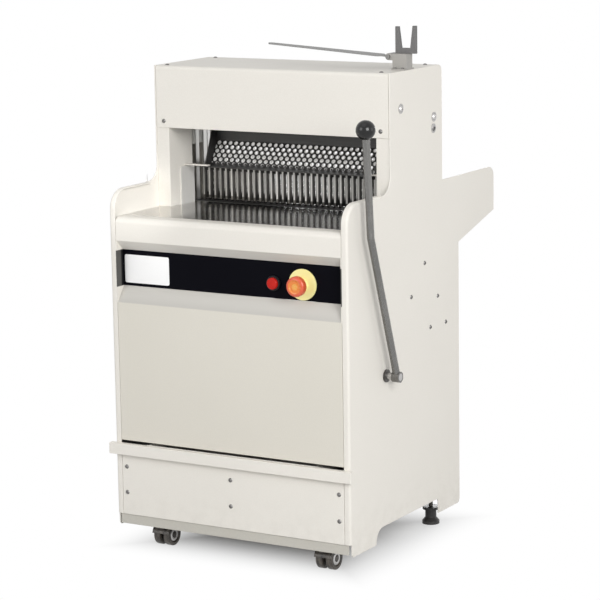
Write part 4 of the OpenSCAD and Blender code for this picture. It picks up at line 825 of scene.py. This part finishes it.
# Narrow spot on the inner face of the left wing
wingSpot = {
    "place": (1.5, -2.2, 1.5), "aim": (-0.316, -0.262, 0.785), "power": 108, "cone": 5.8, "blend": 1.0,
    "radius": 0.02,
}


def addLight(name, kind, place, aim, power):
    turn = (Vector(aim) - Vector(place)).to_track_quat("-Z", "Y")
    bpy.ops.object.light_add(type=kind, location=place, rotation=turn.to_euler())
    light = bpy.context.object
    light.name = name
    light.data.energy = power
    return light.data


def placeSoftbox(name, setup):
    lamp = addLight(name, "AREA", setup["place"], aimPoint, setup["power"])
    lamp.shape = "RECTANGLE"
    lamp.size, lamp.size_y = setup["size"]


def placeSpot(name, setup):
    lamp = addLight(name, "SPOT", setup["place"], setup["aim"], setup["power"])
    lamp.spot_size = math.radians(setup["cone"])
    lamp.spot_blend = setup["blend"]
    lamp.shadow_soft_size = setup["radius"]


for name, setup in studioLights.items():
    placeSoftbox(name, setup)
placeSpot("wingSpot", wingSpot)
print("camera and lights placed:", len(studioLights), "softboxes and a spot")

# Grey floor near the machine as a painted contact shadow, which also keeps the lamps' shadow, fading into a
# white surround
studioSet = {
    "floorSize": 40, "shadowFloorColour": (0.55, 0.55, 0.55), "floorRoughness": 0.8,
    "middle": (-0.0195, -0.05, 0), "half": (0.315, 0.295), "fade": (-0.22, 0.05),
    "ambient": 0.4, "white": (1, 1, 1, 1),
}


def backgroundRay(wire):
    rays = wire.tree.nodes.new("ShaderNodeLightPath")
    seen = [Wire(wire.tree, rays.outputs[name])
            for name in ("Is Camera Ray", "Is Glossy Ray", "Is Transmission Ray")]
    return wire.math("MINIMUM", seen[0] + seen[1] + seen[2], 1)


def makeFloor(setup):
    bpy.ops.mesh.primitive_plane_add(size=setup["floorSize"], location=(0, 0, 0))
    floor = bpy.context.object
    floor.name = "studioFloor"
    material, surface, place = startFinish("floorPaintedShadow", {
        "Base Color": (*setup["shadowFloorColour"], 1), "Roughness": setup["floorRoughness"]})
    sides = [awayFrom(place, setup["middle"], axis) - half for axis, half in zip("XY", setup["half"])]
    away = place.math("MAXIMUM", *sides)
    # Painted shadow: the grey floor shows close to the machine, white glow further out
    share = rise(away, *setup["fade"]) * backgroundRay(place)
    matt = Wire(place.tree, surface.outputs[0])
    glow = away.node("ShaderNodeEmission", None, {"Color": setup["white"], "Strength": 1})
    blend = away.node("ShaderNodeMixShader", None, {0: share, 1: matt, 2: glow})
    place.tree.links.new(blend.socket, place.tree.nodes["Material Output"].inputs["Surface"])
    floor.data.materials.append(material)


def makeWorld(setup):
    world = bpy.data.worlds.new("studioWorld")
    bpy.context.scene.world = world
    world.use_nodes = True
    tree = world.node_tree
    sky = tree.nodes["Background"]
    seen = backgroundRay(Wire(tree, sky.outputs[0]))
    strength = seen * (1 - setup["ambient"]) + setup["ambient"]
    tree.links.new(strength.socket, sky.inputs["Strength"])
    sky.inputs["Color"].default_value = setup["white"]


makeFloor(studioSet)
makeWorld(studioSet)
bpy.context.scene.view_settings.view_transform = "Standard"
print("studio made")
